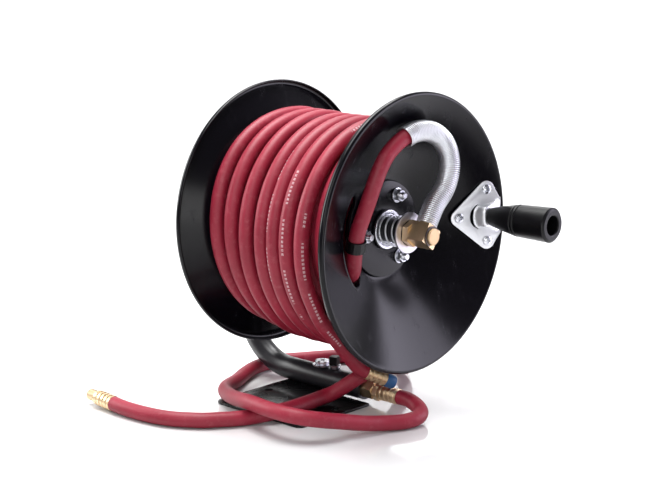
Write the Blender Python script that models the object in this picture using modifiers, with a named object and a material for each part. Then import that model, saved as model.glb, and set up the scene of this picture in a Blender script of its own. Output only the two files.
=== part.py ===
"""Hand-cranked air hose reel: bent pipe stand, dished drum, swivel inlet, wound hose and turning grip.

Sizes are in millimetres and become metres where the meshes are made.
X runs along the drum's axle towards the crank and Z is up.
The origin is under the base plate, below the axle.
"""
import math

import bmesh
import bpy
import numpy as np
from mathutils import Matrix, Vector

MM = 0.001
GAP = 0.3

# Base plate
base_length = 136.0
base_front = 121.0
base_shoulder = -7.4
base_rear = 49.0
base_tongue = 8.0
base_thickness = 3.0
base_corner = 9.0
base_hole_radius = 4.5
base_hole_inset = 15.0
base_hole_row_front = 105.0
base_hole_row_middle = 49.0

# Frame pipe
pipe_outer = 13.35
pipe_wall = 2.9
pipe_bend = 73.0
axle_rise = 188.0
pipe_foot_end = 55.0
pipe_axle_end = 117.0

# Drum flanges
near_rim = 131.0
rim_separation = 221.6
flange_radius = 153.5
flange_sheet = 1.6
flange_dish = 51.3
flange_flat_radius = 54.0
rim_band = 6.0
rim_roll = 3.2

# Hub
hub_radius = 53.4
hub_plate = 3.0
bush_wall = 3.2
core_radius = 50.0
core_wall = 2.0
tie_circle = 40.0
tie_radius = 4.0
tie_angles = (64.0, 184.0, 304.0)
tie_nut_radius = 7.2
tie_nut_height = 6.0
tie_washer_radius = 8.4
tie_washer_height = 1.6
tie_stub = 5.0

# Brake spring and its washers
cup_radius = 22.0
cup_depth = 4.2
cup_sheet = 1.6
disc_radius = 22.6
disc_thickness = 2.0
spring_radius = 16.6
spring_wire = 2.2
spring_curls = 5

# Swivel
spindle_radius = 9.2
spindle_end = 151.6
collar_radius = 15.0
collar_length = 7.0
block_side = 25.0
block_length = 20.0
port_angle = 56.0
port_neck_radius = 7.0
port_neck_length = 9.0
ring_radius = 11.2
ring_thickness = 1.2
ring_groove = 1.4

# Hose
hose_radius = 8.4
guard_radius = 10.5
guard_wire = 2.2
guard_curls = 29
clamp_width = 13.0
clamp_sheet = 2.2

# Hose slot in the near flange
slot_circle = 72.0
slot_half_width = 12.0
slot_start = 152.0
slot_end = 216.0

# Wound hose
wind_radius = 122.0
turn_shares = (0.0, 0.182, 0.36, 0.542, 0.682, 0.823, 1.0)
turn_sag = (-3.0, 1.0, 7.0, 8.0, 8.0, 8.0, 8.0)
wind_start_angle = 30.0
wind_end_angle = 205.0
layer_step = 17.0
points_per_loop = 24
tail_rest = 33.35

# Hose end fittings
ferrule_radius = 8.7
ferrule_length = 24.0
ferrule_ribs = 3
thread_radius = 6.4
thread_length = 13.0
cap_radius = 7.9
cap_wall = 1.2
inlet_hex = 11.2
inlet_hex_length = 15.0
inlet_nut_length = 8.0

# Handle
handle_inset = 25.5
handle_angle = 1.5
bracket_sheet = 2.0
bracket_screw_inset = 54.0
bracket_span = 35.5
bracket_half_span = 30.0
bracket_lobe = 9.6
bracket_reach = 47.2
saddle_width = 24.6
saddle_height = 32.0
saddle_recess = 0.5
bracket_screw_radius = 2.5
bracket_screw_head = 5.2
handle_bolt_radius = 4.0
handle_bolt_head = 7.0
grip_length = 84.0
grip_small = 10.4
grip_large = 19.0
grip_recess = 11.0
grip_recess_depth = 26.0

# Plug and capped stud on the foot of the pipe
plug_place = -13.0
stud_place = 6.0
plug_washer_radius = 11.5
plug_hex = 9.0
stud_cap_side = 10.6
stud_cap_height = 10.0

# Places that follow from the sizes above
foot_height = base_thickness + GAP + pipe_outer
axle_height = foot_height + axle_rise
far_rim = near_rim - rim_separation
near_hub_face = near_rim - flange_dish
far_hub_face = far_rim + flange_dish
dish_tilt = 0.5
for _ in range(6):
    rise = flange_dish - rim_roll + rim_roll / math.cos(dish_tilt)
    dish_tilt = math.atan(rise / (flange_radius - rim_roll - flange_flat_radius))
dish_slope = math.tan(dish_tilt)
upright_place = -base_length / 2 + 2.0 - pipe_bend
pipe_bore = pipe_outer - pipe_wall
bore_sides = 12
stub_radius = pipe_bore * math.cos(math.pi / bore_sides) - GAP
inner_turn_radius = wind_radius - layer_step
handle_circle = flange_radius - handle_inset
bracket_inner_screw = flange_radius - bracket_screw_inset
saddle_face = near_rim - saddle_recess
AXLE = Vector((0.0, 0.0, axle_height))
X_AXIS = Vector((1.0, 0.0, 0.0))


def on_axle(x, radius, angle):
    """A point at a radius and an angle round the axle, the angle measured from +Y towards +Z."""
    turn = math.radians(angle)
    return Vector((x, radius * math.cos(turn), axle_height + radius * math.sin(turn)))


def dish_place(radius):
    """How far the near flange's outer face lies along X at a radius."""
    return near_hub_face + max(0.0, radius - flange_flat_radius) * dish_slope


# Scene, collections and materials
for old in list(bpy.data.objects):
    bpy.data.objects.remove(old, do_unlink=True)

PARTS = bpy.data.collections.new("air_hose_reel")
CUTTERS = bpy.data.collections.new("cutters")
bpy.context.scene.collection.children.link(PARTS)
bpy.context.scene.collection.children.link(CUTTERS)


def material(name, color, roughness, metallic):
    """A plain surface with a colour, a roughness and a metallic value."""
    mat = bpy.data.materials.new(name)
    mat.use_nodes = True
    shader = mat.node_tree.nodes["Principled BSDF"]
    shader.inputs["Base Color"].default_value = (*color, 1.0)
    shader.inputs["Roughness"].default_value = roughness
    shader.inputs["Metallic"].default_value = metallic
    return mat


BLACK = ((0.012, 0.012, 0.016), 0.28, 0.0)
ZINC = ((0.72, 0.73, 0.75), 0.3, 1.0)
BRASS = ((0.78, 0.57, 0.25), 0.3, 1.0)
RUBBER = ((0.33, 0.025, 0.05), 0.45, 0.0)
PLASTIC = ((0.02, 0.02, 0.022), 0.5, 0.0)
BLUE = ((0.05, 0.14, 0.4), 0.45, 0.0)
WHITE = ((0.8, 0.8, 0.78), 0.5, 0.0)


def adopt(obj, name, look, collection=PARTS):
    """Names an object, gives it its own material and keeps it in one collection."""
    obj.name = name
    obj.data.name = name
    for holder in list(obj.users_collection):
        holder.objects.unlink(obj)
    collection.objects.link(obj)
    if collection is CUTTERS:
        obj.hide_render = True
        obj.display_type = "WIRE"
    else:
        obj.data.materials.clear()
        obj.data.materials.append(material(name, *look))
    return obj


def aim(obj, at, along=None, roll=0.0):
    """Places an object with its Z axis along a direction and turns it about that axis."""
    along = Vector(along) if along is not None else Vector((0.0, 0.0, 1.0))
    turn = along.to_track_quat("Z", "Y").to_matrix().to_4x4() @ Matrix.Rotation(math.radians(roll), 4, "Z")
    obj.matrix_world = Matrix.Translation(Vector(at) * MM) @ turn
    return obj


def from_bmesh(bm, name, look, collection=PARTS, smooth=False):
    """Turns a bmesh drawn in millimetres into an object in metres."""
    bmesh.ops.scale(bm, vec=(MM, MM, MM), verts=bm.verts)
    mesh = bpy.data.meshes.new(name)
    bm.to_mesh(mesh)
    bm.free()
    if smooth:
        mesh.shade_smooth()
        mesh.set_sharp_from_angle(angle=math.radians(40))
    obj = bpy.data.objects.new(name, mesh)
    bpy.context.scene.collection.objects.link(obj)
    return adopt(obj, name, look, collection)


def rod(name, radius, start, length, look, along=X_AXIS, sides=32, collection=PARTS, roll=0.0):
    """A straight round or many-sided bar from a start point along a direction."""
    bm = bmesh.new()
    bmesh.ops.create_cone(bm, cap_ends=True, segments=sides, radius1=radius, radius2=radius, depth=length)
    bmesh.ops.translate(bm, verts=bm.verts, vec=(0, 0, length / 2))
    obj = from_bmesh(bm, name, look, collection, smooth=sides > 8)
    return aim(obj, start, along, roll)


def box(name, size, center, look, collection=PARTS):
    """A block in the local frame of whatever it will be joined to."""
    bm = bmesh.new()
    bmesh.ops.create_cube(bm, size=1.0)
    bmesh.ops.scale(bm, vec=size, verts=bm.verts)
    bmesh.ops.translate(bm, verts=bm.verts, vec=center)
    return from_bmesh(bm, name, look, collection)


def turned(name, profile, look, at=AXLE, along=X_AXIS, steps=24, collection=PARTS):
    """A closed outline of (place along the axis, radius) points turned about an axis through a point."""
    mesh = bpy.data.meshes.new(name)
    outline = np.array(profile)
    ahead = np.roll(outline, -1, axis=0)
    area = np.sum(outline[:, 1] * ahead[:, 0] - ahead[:, 1] * outline[:, 0])
    if area > 0:
        outline = outline[::-1]
    points = [(radius * MM, 0.0, place * MM) for place, radius in outline]
    edges = [(i, (i + 1) % len(points)) for i in range(len(points))]
    edges = [(i, k) for i, k in edges if points[i][0] > 0 or points[k][0] > 0]
    mesh.from_pydata(points, edges, [])
    obj = bpy.data.objects.new(name, mesh)
    bpy.context.scene.collection.objects.link(obj)
    screw = obj.modifiers.new("turn", "SCREW")
    screw.steps = steps
    screw.render_steps = steps
    screw.use_merge_vertices = True
    screw.merge_threshold = 0.00005
    screw.use_smooth_shade = True
    adopt(obj, name, look, collection)
    return aim(obj, at, along)


def tube_curve(name, points, radius, look, sides_setting=4, collection=PARTS):
    """A smooth tube through points in millimetres, its ends capped."""
    curve = bpy.data.curves.new(name, "CURVE")
    curve.dimensions = "3D"
    curve.bevel_depth = radius * MM
    curve.bevel_resolution = sides_setting
    curve.use_fill_caps = True
    spline = curve.splines.new("POLY")
    spline.points.add(len(points) - 1)
    for point, place in zip(spline.points, points):
        point.co = (place[0] * MM, place[1] * MM, place[2] * MM, 1.0)
    obj = bpy.data.objects.new(name, curve)
    bpy.context.scene.collection.objects.link(obj)
    return adopt(obj, name, look, collection)


def flat_piece(name, outline, thickness, look, collection=PARTS):
    """A flat outline in the local XY plane, drawn out upwards to its thickness."""
    curve = bpy.data.curves.new(name, "CURVE")
    curve.dimensions = "2D"
    curve.fill_mode = "BOTH"
    curve.extrude = thickness / 2 * MM
    spline = curve.splines.new("POLY")
    spline.points.add(len(outline) - 1)
    for point, place in zip(spline.points, outline):
        point.co = (place[0] * MM, place[1] * MM, 0.0, 1.0)
    spline.use_cyclic_u = True
    obj = bpy.data.objects.new(name, curve)
    bpy.context.scene.collection.objects.link(obj)
    adopt(obj, name, look, collection)
    return as_mesh(obj, lift=thickness / 2)


def as_mesh(obj, lift=0.0):
    """Replaces a curve or a modified object by its closed mesh, with the caps welded."""
    bpy.context.view_layer.update()
    evaluated = obj.evaluated_get(bpy.context.evaluated_depsgraph_get())
    mesh = bpy.data.meshes.new_from_object(evaluated)
    bm = bmesh.new()
    bm.from_mesh(mesh)
    bmesh.ops.translate(bm, verts=bm.verts, vec=(0, 0, lift * MM))
    bmesh.ops.remove_doubles(bm, verts=bm.verts, dist=0.000005)
    bm.to_mesh(mesh)
    bm.free()
    name, collection, matrix = obj.name, obj.users_collection[0], obj.matrix_world.copy()
    looks = [slot for slot in obj.data.materials]
    bpy.data.objects.remove(obj, do_unlink=True)
    new = bpy.data.objects.new(name, mesh)
    new.data.name = name
    new.matrix_world = matrix
    mesh.materials.clear()
    for look in looks:
        mesh.materials.append(look)
    collection.objects.link(new)
    if collection is CUTTERS:
        new.hide_render = True
        new.display_type = "WIRE"
    return new


def combine(obj, other, operation):
    """Cuts an object by another, or joins the other to it."""
    change = obj.modifiers.new(operation.lower() + "_" + other.name, "BOOLEAN")
    change.operation = operation
    change.solver = "EXACT"
    change.object = other
    return obj


def round_edges(obj, width, segments=2, angle=40.0):
    """Rounds the sharp edges of a finished shape."""
    bevel = obj.modifiers.new("rounding", "BEVEL")
    bevel.width = width * MM
    bevel.segments = segments
    bevel.limit_method = "ANGLE"
    bevel.angle_limit = math.radians(angle)
    return obj


def arc(center, radius, start, end, count):
    """Points on an arc in a plane, the angles in degrees."""
    angles = np.radians(np.linspace(start, end, count))
    return [(center[0] + radius * math.cos(a), center[1] + radius * math.sin(a)) for a in angles]


def smooth_route(points, spacing):
    """A smooth line through hand-chosen points, sampled evenly, with ends square to their fittings."""
    chosen = np.array([tuple(p) for p in points], dtype=float)
    ends = np.vstack([2 * chosen[0] - chosen[1], chosen, 2 * chosen[-1] - chosen[-2]])
    fine = []
    for i in range(1, len(ends) - 2):
        t = np.linspace(0.0, 1.0, 24, endpoint=False)[:, None]
        before, here, there, after = ends[i - 1], ends[i], ends[i + 1], ends[i + 2]
        bend = 2 * before - 5 * here + 4 * there - after
        twist = 3 * here - before - 3 * there + after
        fine.append(0.5 * (2 * here + (there - before) * t + bend * t ** 2 + twist * t ** 3))
    line = np.vstack(fine + [chosen[-1:]])
    along = np.concatenate([[0.0], np.cumsum(np.linalg.norm(np.diff(line, axis=0), axis=1))])
    count = max(4, int(round(along[-1] / spacing)) + 1)
    steps = np.linspace(0.0, along[-1], count)
    sampled = np.column_stack([np.interp(steps, along, line[:, k]) for k in range(3)])
    square = min(3.0, spacing / 2)
    first = chosen[0] + (chosen[1] - chosen[0]) / np.linalg.norm(chosen[1] - chosen[0]) * square
    last = chosen[-1] + (chosen[-2] - chosen[-1]) / np.linalg.norm(chosen[-2] - chosen[-1]) * square
    return np.vstack([sampled[:1], first, sampled[1:-1], last, sampled[-1:]])


def coil_round(route, radius, curls, per_curl):
    """A helix that follows a route, its frame carried along without twisting."""
    length = np.concatenate([[0.0], np.cumsum(np.linalg.norm(np.diff(route, axis=0), axis=1))])
    count = curls * per_curl + 1
    steps = np.linspace(0.0, length[-1], count)
    places = np.column_stack([np.interp(steps, length, route[:, k]) for k in range(3)])
    tangents = np.gradient(places, axis=0)
    tangents /= np.linalg.norm(tangents, axis=1)[:, None]
    side = np.cross(tangents[0], (0.0, 0.0, 1.0))
    side /= np.linalg.norm(side)
    points = []
    for i in range(count):
        side = side - tangents[i] * np.dot(side, tangents[i])
        side /= np.linalg.norm(side)
        up = np.cross(tangents[i], side)
        turn = 2 * math.pi * i / per_curl
        points.append(places[i] + radius * (math.cos(turn) * side + math.sin(turn) * up))
    return np.array(points)


def least_gap(points, radius, per_loop):
    """The least gap between a tube's own turns, measured on its points."""
    least = math.inf
    for shift in range(int(per_loop * 0.7), min(len(points) - 1, int(per_loop * 1.3)) + 1):
        least = min(least, np.linalg.norm(points[shift:] - points[:-shift], axis=1).min())
    return least - 2 * radius


# Base plate with its rounded corners and four holes
def base_outline():
    """The plate seen from above: rounded corners, and a tongue that runs back under the pipe's bend."""
    half, c = base_length / 2, base_corner
    right = arc((half - 3.0, base_shoulder - 3.0), 3.0, 0, 90, 3) + [(base_tongue, base_shoulder)]
    corners = ((base_tongue - c, base_rear - c, 0), (-half + c, base_rear - c, 90),
               (-half + c, -base_front + c, 180), (half - c, -base_front + c, 270))
    return right + [p for x, y, start in corners for p in arc((x, y), c, start, start + 90, 5)]


base_plate = flat_piece("base_plate", base_outline(), base_thickness, BLACK)
for row_name, row in (("front", -base_hole_row_front), ("middle", -base_hole_row_middle)):
    for side_name, side in (("left", -1), ("right", 1)):
        place = (side * (base_length / 2 - base_hole_inset), row, -1.0)
        hole = rod(f"cut_base_{row_name}_{side_name}", base_hole_radius, place, base_thickness + 2.0, BLACK,
                   along=(0, 0, 1), sides=14, collection=CUTTERS)
        combine(base_plate, hole, "DIFFERENCE")


# Frame pipe, one bent tube that carries the air from its foot to the axle
def pipe_route(foot_end, axle_end):
    """The pipe's centre line: foot, bend, upright, bend and axle."""
    low = (upright_place + pipe_bend, foot_height + pipe_bend)
    high = (upright_place + pipe_bend, axle_height - pipe_bend)
    line = [(foot_end, foot_height)]
    line += arc(low, pipe_bend, 270, 180, 8)
    line += arc(high, pipe_bend, 180, 90, 8)
    line += [(axle_end, axle_height)]
    return [(x, 0.0, z) for x, z in line]


pipe_line = pipe_route(pipe_foot_end, pipe_axle_end)
frame_pipe = as_mesh(tube_curve("frame_pipe", pipe_line, pipe_outer, BLACK, 4))
bore_cut = as_mesh(tube_curve("cut_pipe_bore", pipe_route(pipe_foot_end + 2, pipe_axle_end + 2), pipe_bore,
                              BLACK, 4, CUTTERS))
combine(frame_pipe, bore_cut, "DIFFERENCE")

# Plug and capped stud that close two ports in the foot of the pipe
port_radius = 4.0
port_depth = 5.0
pipe_top = foot_height + pipe_outer
for port_name, place in (("plug", plug_place), ("stud", stud_place)):
    port = rod("cut_port_" + port_name, port_radius + GAP, (place, 0, pipe_top - port_depth),
               port_depth + 2, BLACK, along=(0, 0, 1), sides=14, collection=CUTTERS)
    combine(frame_pipe, port, "DIFFERENCE")

port_washer_height = 1.8
turned("port_plug", [(port_washer_height + 6.5, 0.0), (port_washer_height + 6.5, plug_hex - 1.5),
                     (port_washer_height + 5.5, plug_hex), (port_washer_height, plug_hex),
                     (port_washer_height, plug_washer_radius), (0.0, plug_washer_radius),
                     (0.0, port_radius), (-port_depth + 0.6, port_radius), (-port_depth + 0.6, 0.0)],
       ZINC, at=(plug_place, 0, pipe_top + GAP), along=(0, 0, 1), steps=14)

stud_collar_height = 4.0
turned("capped_stud", [(stud_collar_height + 6.0, 0.0), (stud_collar_height + 6.0, port_radius),
                       (stud_collar_height, port_radius), (stud_collar_height, 7.4), (0.0, 7.4),
                       (0.0, port_radius), (-port_depth + 0.6, port_radius), (-port_depth + 0.6, 0.0)],
       ZINC, at=(stud_place, 0, pipe_top + GAP), along=(0, 0, 1), steps=14)

stud_cap_base = pipe_top + GAP + stud_collar_height + GAP
stud_cap = box("stud_cap", (stud_cap_side, stud_cap_side, stud_cap_height),
               (0, 0, stud_cap_height / 2), PLASTIC)
aim(stud_cap, (stud_place, 0, stud_cap_base))
round_edges(stud_cap, 1.2, 1)
stud_hole = rod("cut_stud_cap", port_radius + GAP, (stud_place, 0, stud_cap_base - 1.0), 7.4, BLACK,
                along=(0, 0, 1), sides=14, collection=CUTTERS)
combine(stud_cap, stud_hole, "DIFFERENCE")


# Drum flanges, pressed as shallow dishes with a rolled rim
def flange_profile():
    """The sheet's outline from the hub out to the rim, as (depth behind the rim plane, radius)."""
    t = flange_sheet
    bore = pipe_outer + GAP + bush_wall + GAP
    tilt = dish_tilt
    roll_radius = flange_radius - rim_roll
    front = [(-flange_dish, bore), (-flange_dish, flange_flat_radius)]
    front += [(-rim_roll + rim_roll * math.cos(a), roll_radius + rim_roll * math.sin(a))
              for a in np.linspace(-tilt, math.pi / 2, 4)]
    front.append((-rim_band, flange_radius))
    back = [(-rim_band, flange_radius - t)]
    back += [(-rim_roll + (rim_roll - t) * math.cos(a), roll_radius + (rim_roll - t) * math.sin(a))
             for a in np.linspace(math.pi / 2, -tilt, 3)]
    back += [(-flange_dish - t, flange_flat_radius + t * math.tan(tilt / 2)), (-flange_dish - t, bore)]
    return front + back


near_profile = [(near_rim + place, radius) for place, radius in flange_profile()]
far_profile = [(far_rim - place, radius) for place, radius in reversed(flange_profile())]
near_flange = turned("near_flange", near_profile, BLACK, steps=32)
far_flange = turned("far_flange", far_profile, BLACK, steps=32)


# Hose slot, a kidney round the hub
def slot_outline(half_width):
    """The slot's outline round the axle, with round ends."""
    turn_in, turn_out = slot_circle - half_width, slot_circle + half_width
    end = arc((0, 0), slot_circle, slot_end, slot_end, 1)[0]
    start = arc((0, 0), slot_circle, slot_start, slot_start, 1)[0]
    outline = arc((0, 0), turn_out, slot_start, slot_end, 8)
    outline += arc(end, half_width, slot_end, slot_end + 180, 6)[1:-1]
    outline += arc((0, 0), turn_in, slot_end, slot_start, 8)
    outline += arc(start, half_width, slot_start + 180, slot_start + 360, 6)[1:-1]
    return outline


AXLE_TURN = Matrix(((0, 0, 1, 0), (1, 0, 0, 0), (0, 1, 0, axle_height * MM), (0, 0, 0, 1)))
slot_cut = flat_piece("cut_slot", slot_outline(slot_half_width), 60.0, BLACK, CUTTERS)
slot_cut.matrix_world = Matrix.Translation((near_hub_face * MM - 0.015, 0, 0)) @ AXLE_TURN
combine(near_flange, slot_cut, "DIFFERENCE")

# Hub plates, bushes and drum core
bush_outer = pipe_outer + GAP + bush_wall
near_plate_back = near_hub_face + GAP
far_plate_back = far_hub_face - GAP


def disc_profile(start, thickness, inner, outer, chamfer=0.0):
    """A flat ring's outline, its outer edges broken where a chamfer is given."""
    end = start + thickness
    if chamfer == 0.0:
        return [(start, inner), (end, inner), (end, outer), (start, outer)]
    return [(start, inner), (end, inner), (end, outer - chamfer), (end - chamfer, outer),
            (start + chamfer, outer), (start, outer - chamfer)]


bush_hole = bush_outer + GAP
bush_inner = pipe_outer + GAP
bush_length = 14.0
near_bush_start = near_plate_back + hub_plate - bush_length
far_plate_start = far_plate_back - hub_plate
near_hub_profile = disc_profile(near_plate_back, hub_plate, bush_hole, hub_radius, 0.8)
far_hub_profile = disc_profile(far_plate_start, hub_plate, bush_hole, hub_radius)
near_hub_plate = turned("near_hub_plate", near_hub_profile, BLACK)
far_hub_plate = turned("far_hub_plate", far_hub_profile, BLACK)
turned("near_bush", disc_profile(near_bush_start, bush_length, bush_inner, bush_outer), WHITE)
turned("far_bush", disc_profile(far_plate_start, bush_length, bush_inner, bush_outer), WHITE)
core_start = far_hub_face + flange_sheet + GAP
core_end = near_hub_face - flange_sheet - GAP
core_inner = core_radius - core_wall
turned("drum_core", disc_profile(core_start, core_end - core_start, core_inner, core_radius), BLACK)

# Tie rods through the drum, each with a head behind the far plate and a nut on the near plate
clamp_tie = 1
tab_thickness = 2.0
tie_head_height = 5.0
for index, angle in enumerate(tie_angles):
    lift = tab_thickness + GAP if index == clamp_tie else 0.0
    seat = near_plate_back + hub_plate + GAP + lift
    head = far_plate_back - hub_plate - GAP - tie_head_height
    rod_end = seat + tie_washer_height + tie_nut_height + tie_stub
    name = "abc"[index]
    center = on_axle(0.0, tie_circle, angle)
    turned("tie_rod_" + name, [(rod_end, 0.0), (rod_end, tie_radius - 0.8), (rod_end - 1.0, tie_radius),
                               (head + tie_head_height, tie_radius), (head + tie_head_height, 7.0),
                               (head + 1.0, 7.0), (head, 6.0), (head, 0.0)],
           ZINC, at=center, steps=14)
    nut = rod("tie_nut_" + name, tie_nut_radius, center + X_AXIS * (seat + tie_washer_height - 0.2),
              tie_nut_height + 0.2, ZINC, sides=6, roll=20 * index)
    washer = rod("cut_tie_washer_" + name, tie_washer_radius, center + X_AXIS * seat, tie_washer_height,
                 ZINC, sides=16, collection=CUTTERS)
    clearance = rod("cut_tie_" + name, tie_radius + GAP, center + X_AXIS * (far_rim - 10),
                    rim_separation + 20, BLACK, sides=14, collection=CUTTERS)
    combine(nut, washer, "UNION")
    for piece in (nut, near_hub_plate, far_hub_plate, near_flange, far_flange):
        combine(piece, clearance, "DIFFERENCE")

# Cup washer, brake spring and flat washer on the axle
cup_back = near_plate_back + hub_plate + GAP
cup_bore = pipe_outer + GAP
turned("cup_washer", [(cup_back, cup_bore), (cup_back + cup_sheet, cup_bore),
                      (cup_back + cup_sheet, cup_radius - cup_sheet - 1.5),
                      (cup_back + cup_sheet + 1.5, cup_radius - cup_sheet),
                      (cup_back + cup_depth, cup_radius - cup_sheet), (cup_back + cup_depth, cup_radius),
                      (cup_back + 1.6, cup_radius), (cup_back, cup_radius - 1.6)], ZINC)
disc_front = pipe_axle_end - GAP
disc_back = disc_front - disc_thickness
turned("flat_washer", disc_profile(disc_back, disc_thickness, cup_bore, disc_radius), ZINC)

spring_from = cup_back + cup_sheet + GAP + spring_wire / 2
spring_to = disc_back - GAP - spring_wire / 2
turns = np.linspace(0.0, spring_curls, spring_curls * 8 + 1)
dead = 0.5
end_lead = spring_wire + 0.5
spring_length = spring_to - spring_from
lead = np.interp(turns, (0.0, dead, spring_curls - dead, spring_curls),
                 (0.0, end_lead, spring_length - end_lead, spring_length))
spring_points = np.column_stack([spring_from + lead, spring_radius * np.cos(2 * math.pi * turns),
                                 axle_height + spring_radius * np.sin(2 * math.pi * turns)])
tube_curve("brake_spring", spring_points, spring_wire / 2, ZINC, 1)
print("brake spring, least gap to itself", round(least_gap(spring_points, spring_wire / 2, 8), 2), "mm")

# Swivel spindle in the end of the axle, with its retaining ring
collar_back = pipe_axle_end + GAP
block_back = collar_back + collar_length
block_front = block_back + block_length
ring_back = block_front + GAP
spindle_bore = spindle_radius + GAP
groove_radius = spindle_radius - ring_groove
groove_front = ring_back + ring_thickness + GAP
groove_back = ring_back - GAP
spindle = [(spindle_end, 0.0), (spindle_end, spindle_radius - 0.9), (spindle_end - 0.9, spindle_radius),
           (groove_front, spindle_radius), (groove_front, groove_radius), (groove_back, groove_radius),
           (groove_back, spindle_radius)]
spindle += [(pipe_axle_end - GAP, spindle_radius), (pipe_axle_end - GAP, stub_radius),
            (pipe_axle_end - 18.0, stub_radius), (pipe_axle_end - 18.0, 0.0)]
turned("swivel_spindle", spindle, BRASS, steps=18)
ring_profile = disc_profile(ring_back, ring_thickness, groove_radius + GAP, ring_radius)
retaining_ring = turned("retaining_ring", ring_profile, ZINC, steps=24)
ring_gap = box("cut_ring_gap", (6.0, 5.0, 8.0), (0, 0, -ring_radius), ZINC, CUTTERS)
ring_gap.matrix_world = Matrix.Translation(Vector((ring_back, 0, axle_height)) * MM)
combine(retaining_ring, ring_gap, "DIFFERENCE")

# Swivel body: a six-sided collar and a square block with the hose port in one flat
swivel_body = rod("swivel_body", collar_radius, AXLE + X_AXIS * collar_back, collar_length + 1.0,
                  BRASS, sides=6, roll=port_angle)
swivel_block = box("cut_swivel_block", (block_side, block_side, block_length), (0, 0, block_length / 2),
                   BRASS, CUTTERS)
round_edges(swivel_block, 1.4, 1)
block_turn = Matrix.Rotation(math.radians(port_angle), 4, "X") @ Matrix.Rotation(math.radians(90), 4, "Y")
swivel_block.matrix_world = Matrix.Translation((AXLE + X_AXIS * block_back) * MM) @ block_turn
combine(swivel_body, swivel_block, "UNION")
spindle_cut = rod("cut_spindle", spindle_bore, AXLE + X_AXIS * (collar_back - 2),
                  collar_length + block_length + 4, BRASS, sides=24, collection=CUTTERS)
combine(swivel_body, spindle_cut, "DIFFERENCE")
port_place = (block_back + block_front) / 2
port_way = Vector((0, math.cos(math.radians(port_angle)), math.sin(math.radians(port_angle))))
port_start = AXLE + X_AXIS * port_place
port_cut = rod("cut_port", port_neck_radius - 1.5, port_start, block_side, BRASS, along=port_way, sides=24,
               collection=CUTTERS)
combine(swivel_body, port_cut, "DIFFERENCE")
neck_start = block_side / 2 + GAP
neck_end = neck_start + port_neck_length
neck_spigot = port_neck_radius - 1.5 - GAP
neck_profile = [(neck_end, 3.0), (neck_end, 8.0), (neck_start, 8.0), (neck_start, neck_spigot),
                (neck_start - 2.6, neck_spigot), (neck_start - 2.6, 3.0)]
turned("port_neck", neck_profile, BRASS, at=port_start, along=port_way, steps=16)

# Swivel hose: round inside its spring guard, past the clamp and through the slot to the wound hose
hose_core_face = near_hub_face - 10.7
hose_start = neck_end + GAP
start_a = port_start + port_way * hose_start
start_b = port_start + port_way * (hose_start + 14.0)
swivel_route = [start_a, start_b, (136.0, 33.5, axle_height + 45.0), (135.5, 42.5, axle_height + 61.0),
                (134.5, 44.5, axle_height + 78.0), (133.0, 38.0, axle_height + 95.0),
                (131.0, 25.0, axle_height + 106.5), (129.5, 8.5, axle_height + 111.5),
                (128.0, -8.5, axle_height + 111.0), (127.0, -23.0, axle_height + 106.5),
                (125.5, -36.0, axle_height + 99.0), (124.0, -47.5, axle_height + 89.0),
                (122.5, -56.5, axle_height + 75.5), (120.5, -63.0, axle_height + 60.0),
                (117.0, -67.5, axle_height + 43.0), (111.5, -70.0, axle_height + 25.5),
                (105.0, -71.0, axle_height + 8.0), (100.5, -69.0, axle_height - 6.0),
                (97.0, -67.0, axle_height - 19.0), (93.0, -63.5, axle_height - 30.5),
                (87.5, -59.5, axle_height - 39.5), (81.0, -57.5, axle_height - 43.0),
                (hose_core_face + GAP, -57.5, axle_height - 43.0)]
hose_line = smooth_route(swivel_route, 9.0)
tube_curve("swivel_hose", hose_line, hose_radius, RUBBER, 2)

# Spring guard round the first stretch of the hose
guard_reach = 9
guard_start = port_start + port_way * (neck_start + guard_wire)
guard_route = smooth_route([guard_start] + swivel_route[1:guard_reach + 1], 2.0)
guard_points = coil_round(guard_route, guard_radius, guard_curls, 8)
tube_curve("spring_guard", guard_points, guard_wire / 2, ZINC, 1)
print("spring guard, least gap to itself", round(least_gap(guard_points, guard_wire / 2, 8), 2), "mm")

# Hose clamp, a band round the hose with a tab under one of the hub nuts
clamp_center = Vector((100.5, -69.0, axle_height - 6.0))
clamp_way = Vector(swivel_route[18]) - Vector(swivel_route[16])
band_inner = hose_radius + GAP
band_outer = band_inner + clamp_sheet
hose_clamp = turned("hose_clamp", [(-clamp_width / 2, band_inner), (-clamp_width / 2, band_outer),
                                   (clamp_width / 2, band_outer), (clamp_width / 2, band_inner)],
                    PLASTIC, at=clamp_center, along=clamp_way, steps=18)
tie_place = on_axle(0.0, tie_circle, tie_angles[clamp_tie])
tab_back = near_plate_back + hub_plate + GAP
tab_end = -56.5
tab_far = tie_place.y + 8.0
tab_near = tab_end - 3.0
tab = box("cut_clamp_tab", (tab_thickness, tab_far - tab_near, clamp_width),
          (tab_back + tab_thickness / 2, (tab_far + tab_near) / 2, tie_place.z), PLASTIC, CUTTERS)
riser = box("cut_clamp_riser", (clamp_center.x - 4.0 - tab_back, 3.0, clamp_width),
            ((clamp_center.x - 4.0 + tab_back) / 2, tab_end - 1.5, tie_place.z), PLASTIC, CUTTERS)
tab_hole = rod("cut_tab_hole", tie_radius + GAP, tie_place + X_AXIS * (tab_back - 3), 12.0, PLASTIC,
               sides=24, collection=CUTTERS)
hose_path = rod("cut_clamp_bore", band_inner, clamp_center - clamp_way.normalized() * 20, 40.0, PLASTIC,
                along=clamp_way, sides=14, collection=CUTTERS)
combine(hose_clamp, tab, "UNION")
combine(hose_clamp, riser, "UNION")
combine(hose_clamp, hose_path, "DIFFERENCE")
combine(hose_clamp, tab_hole, "DIFFERENCE")

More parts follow.
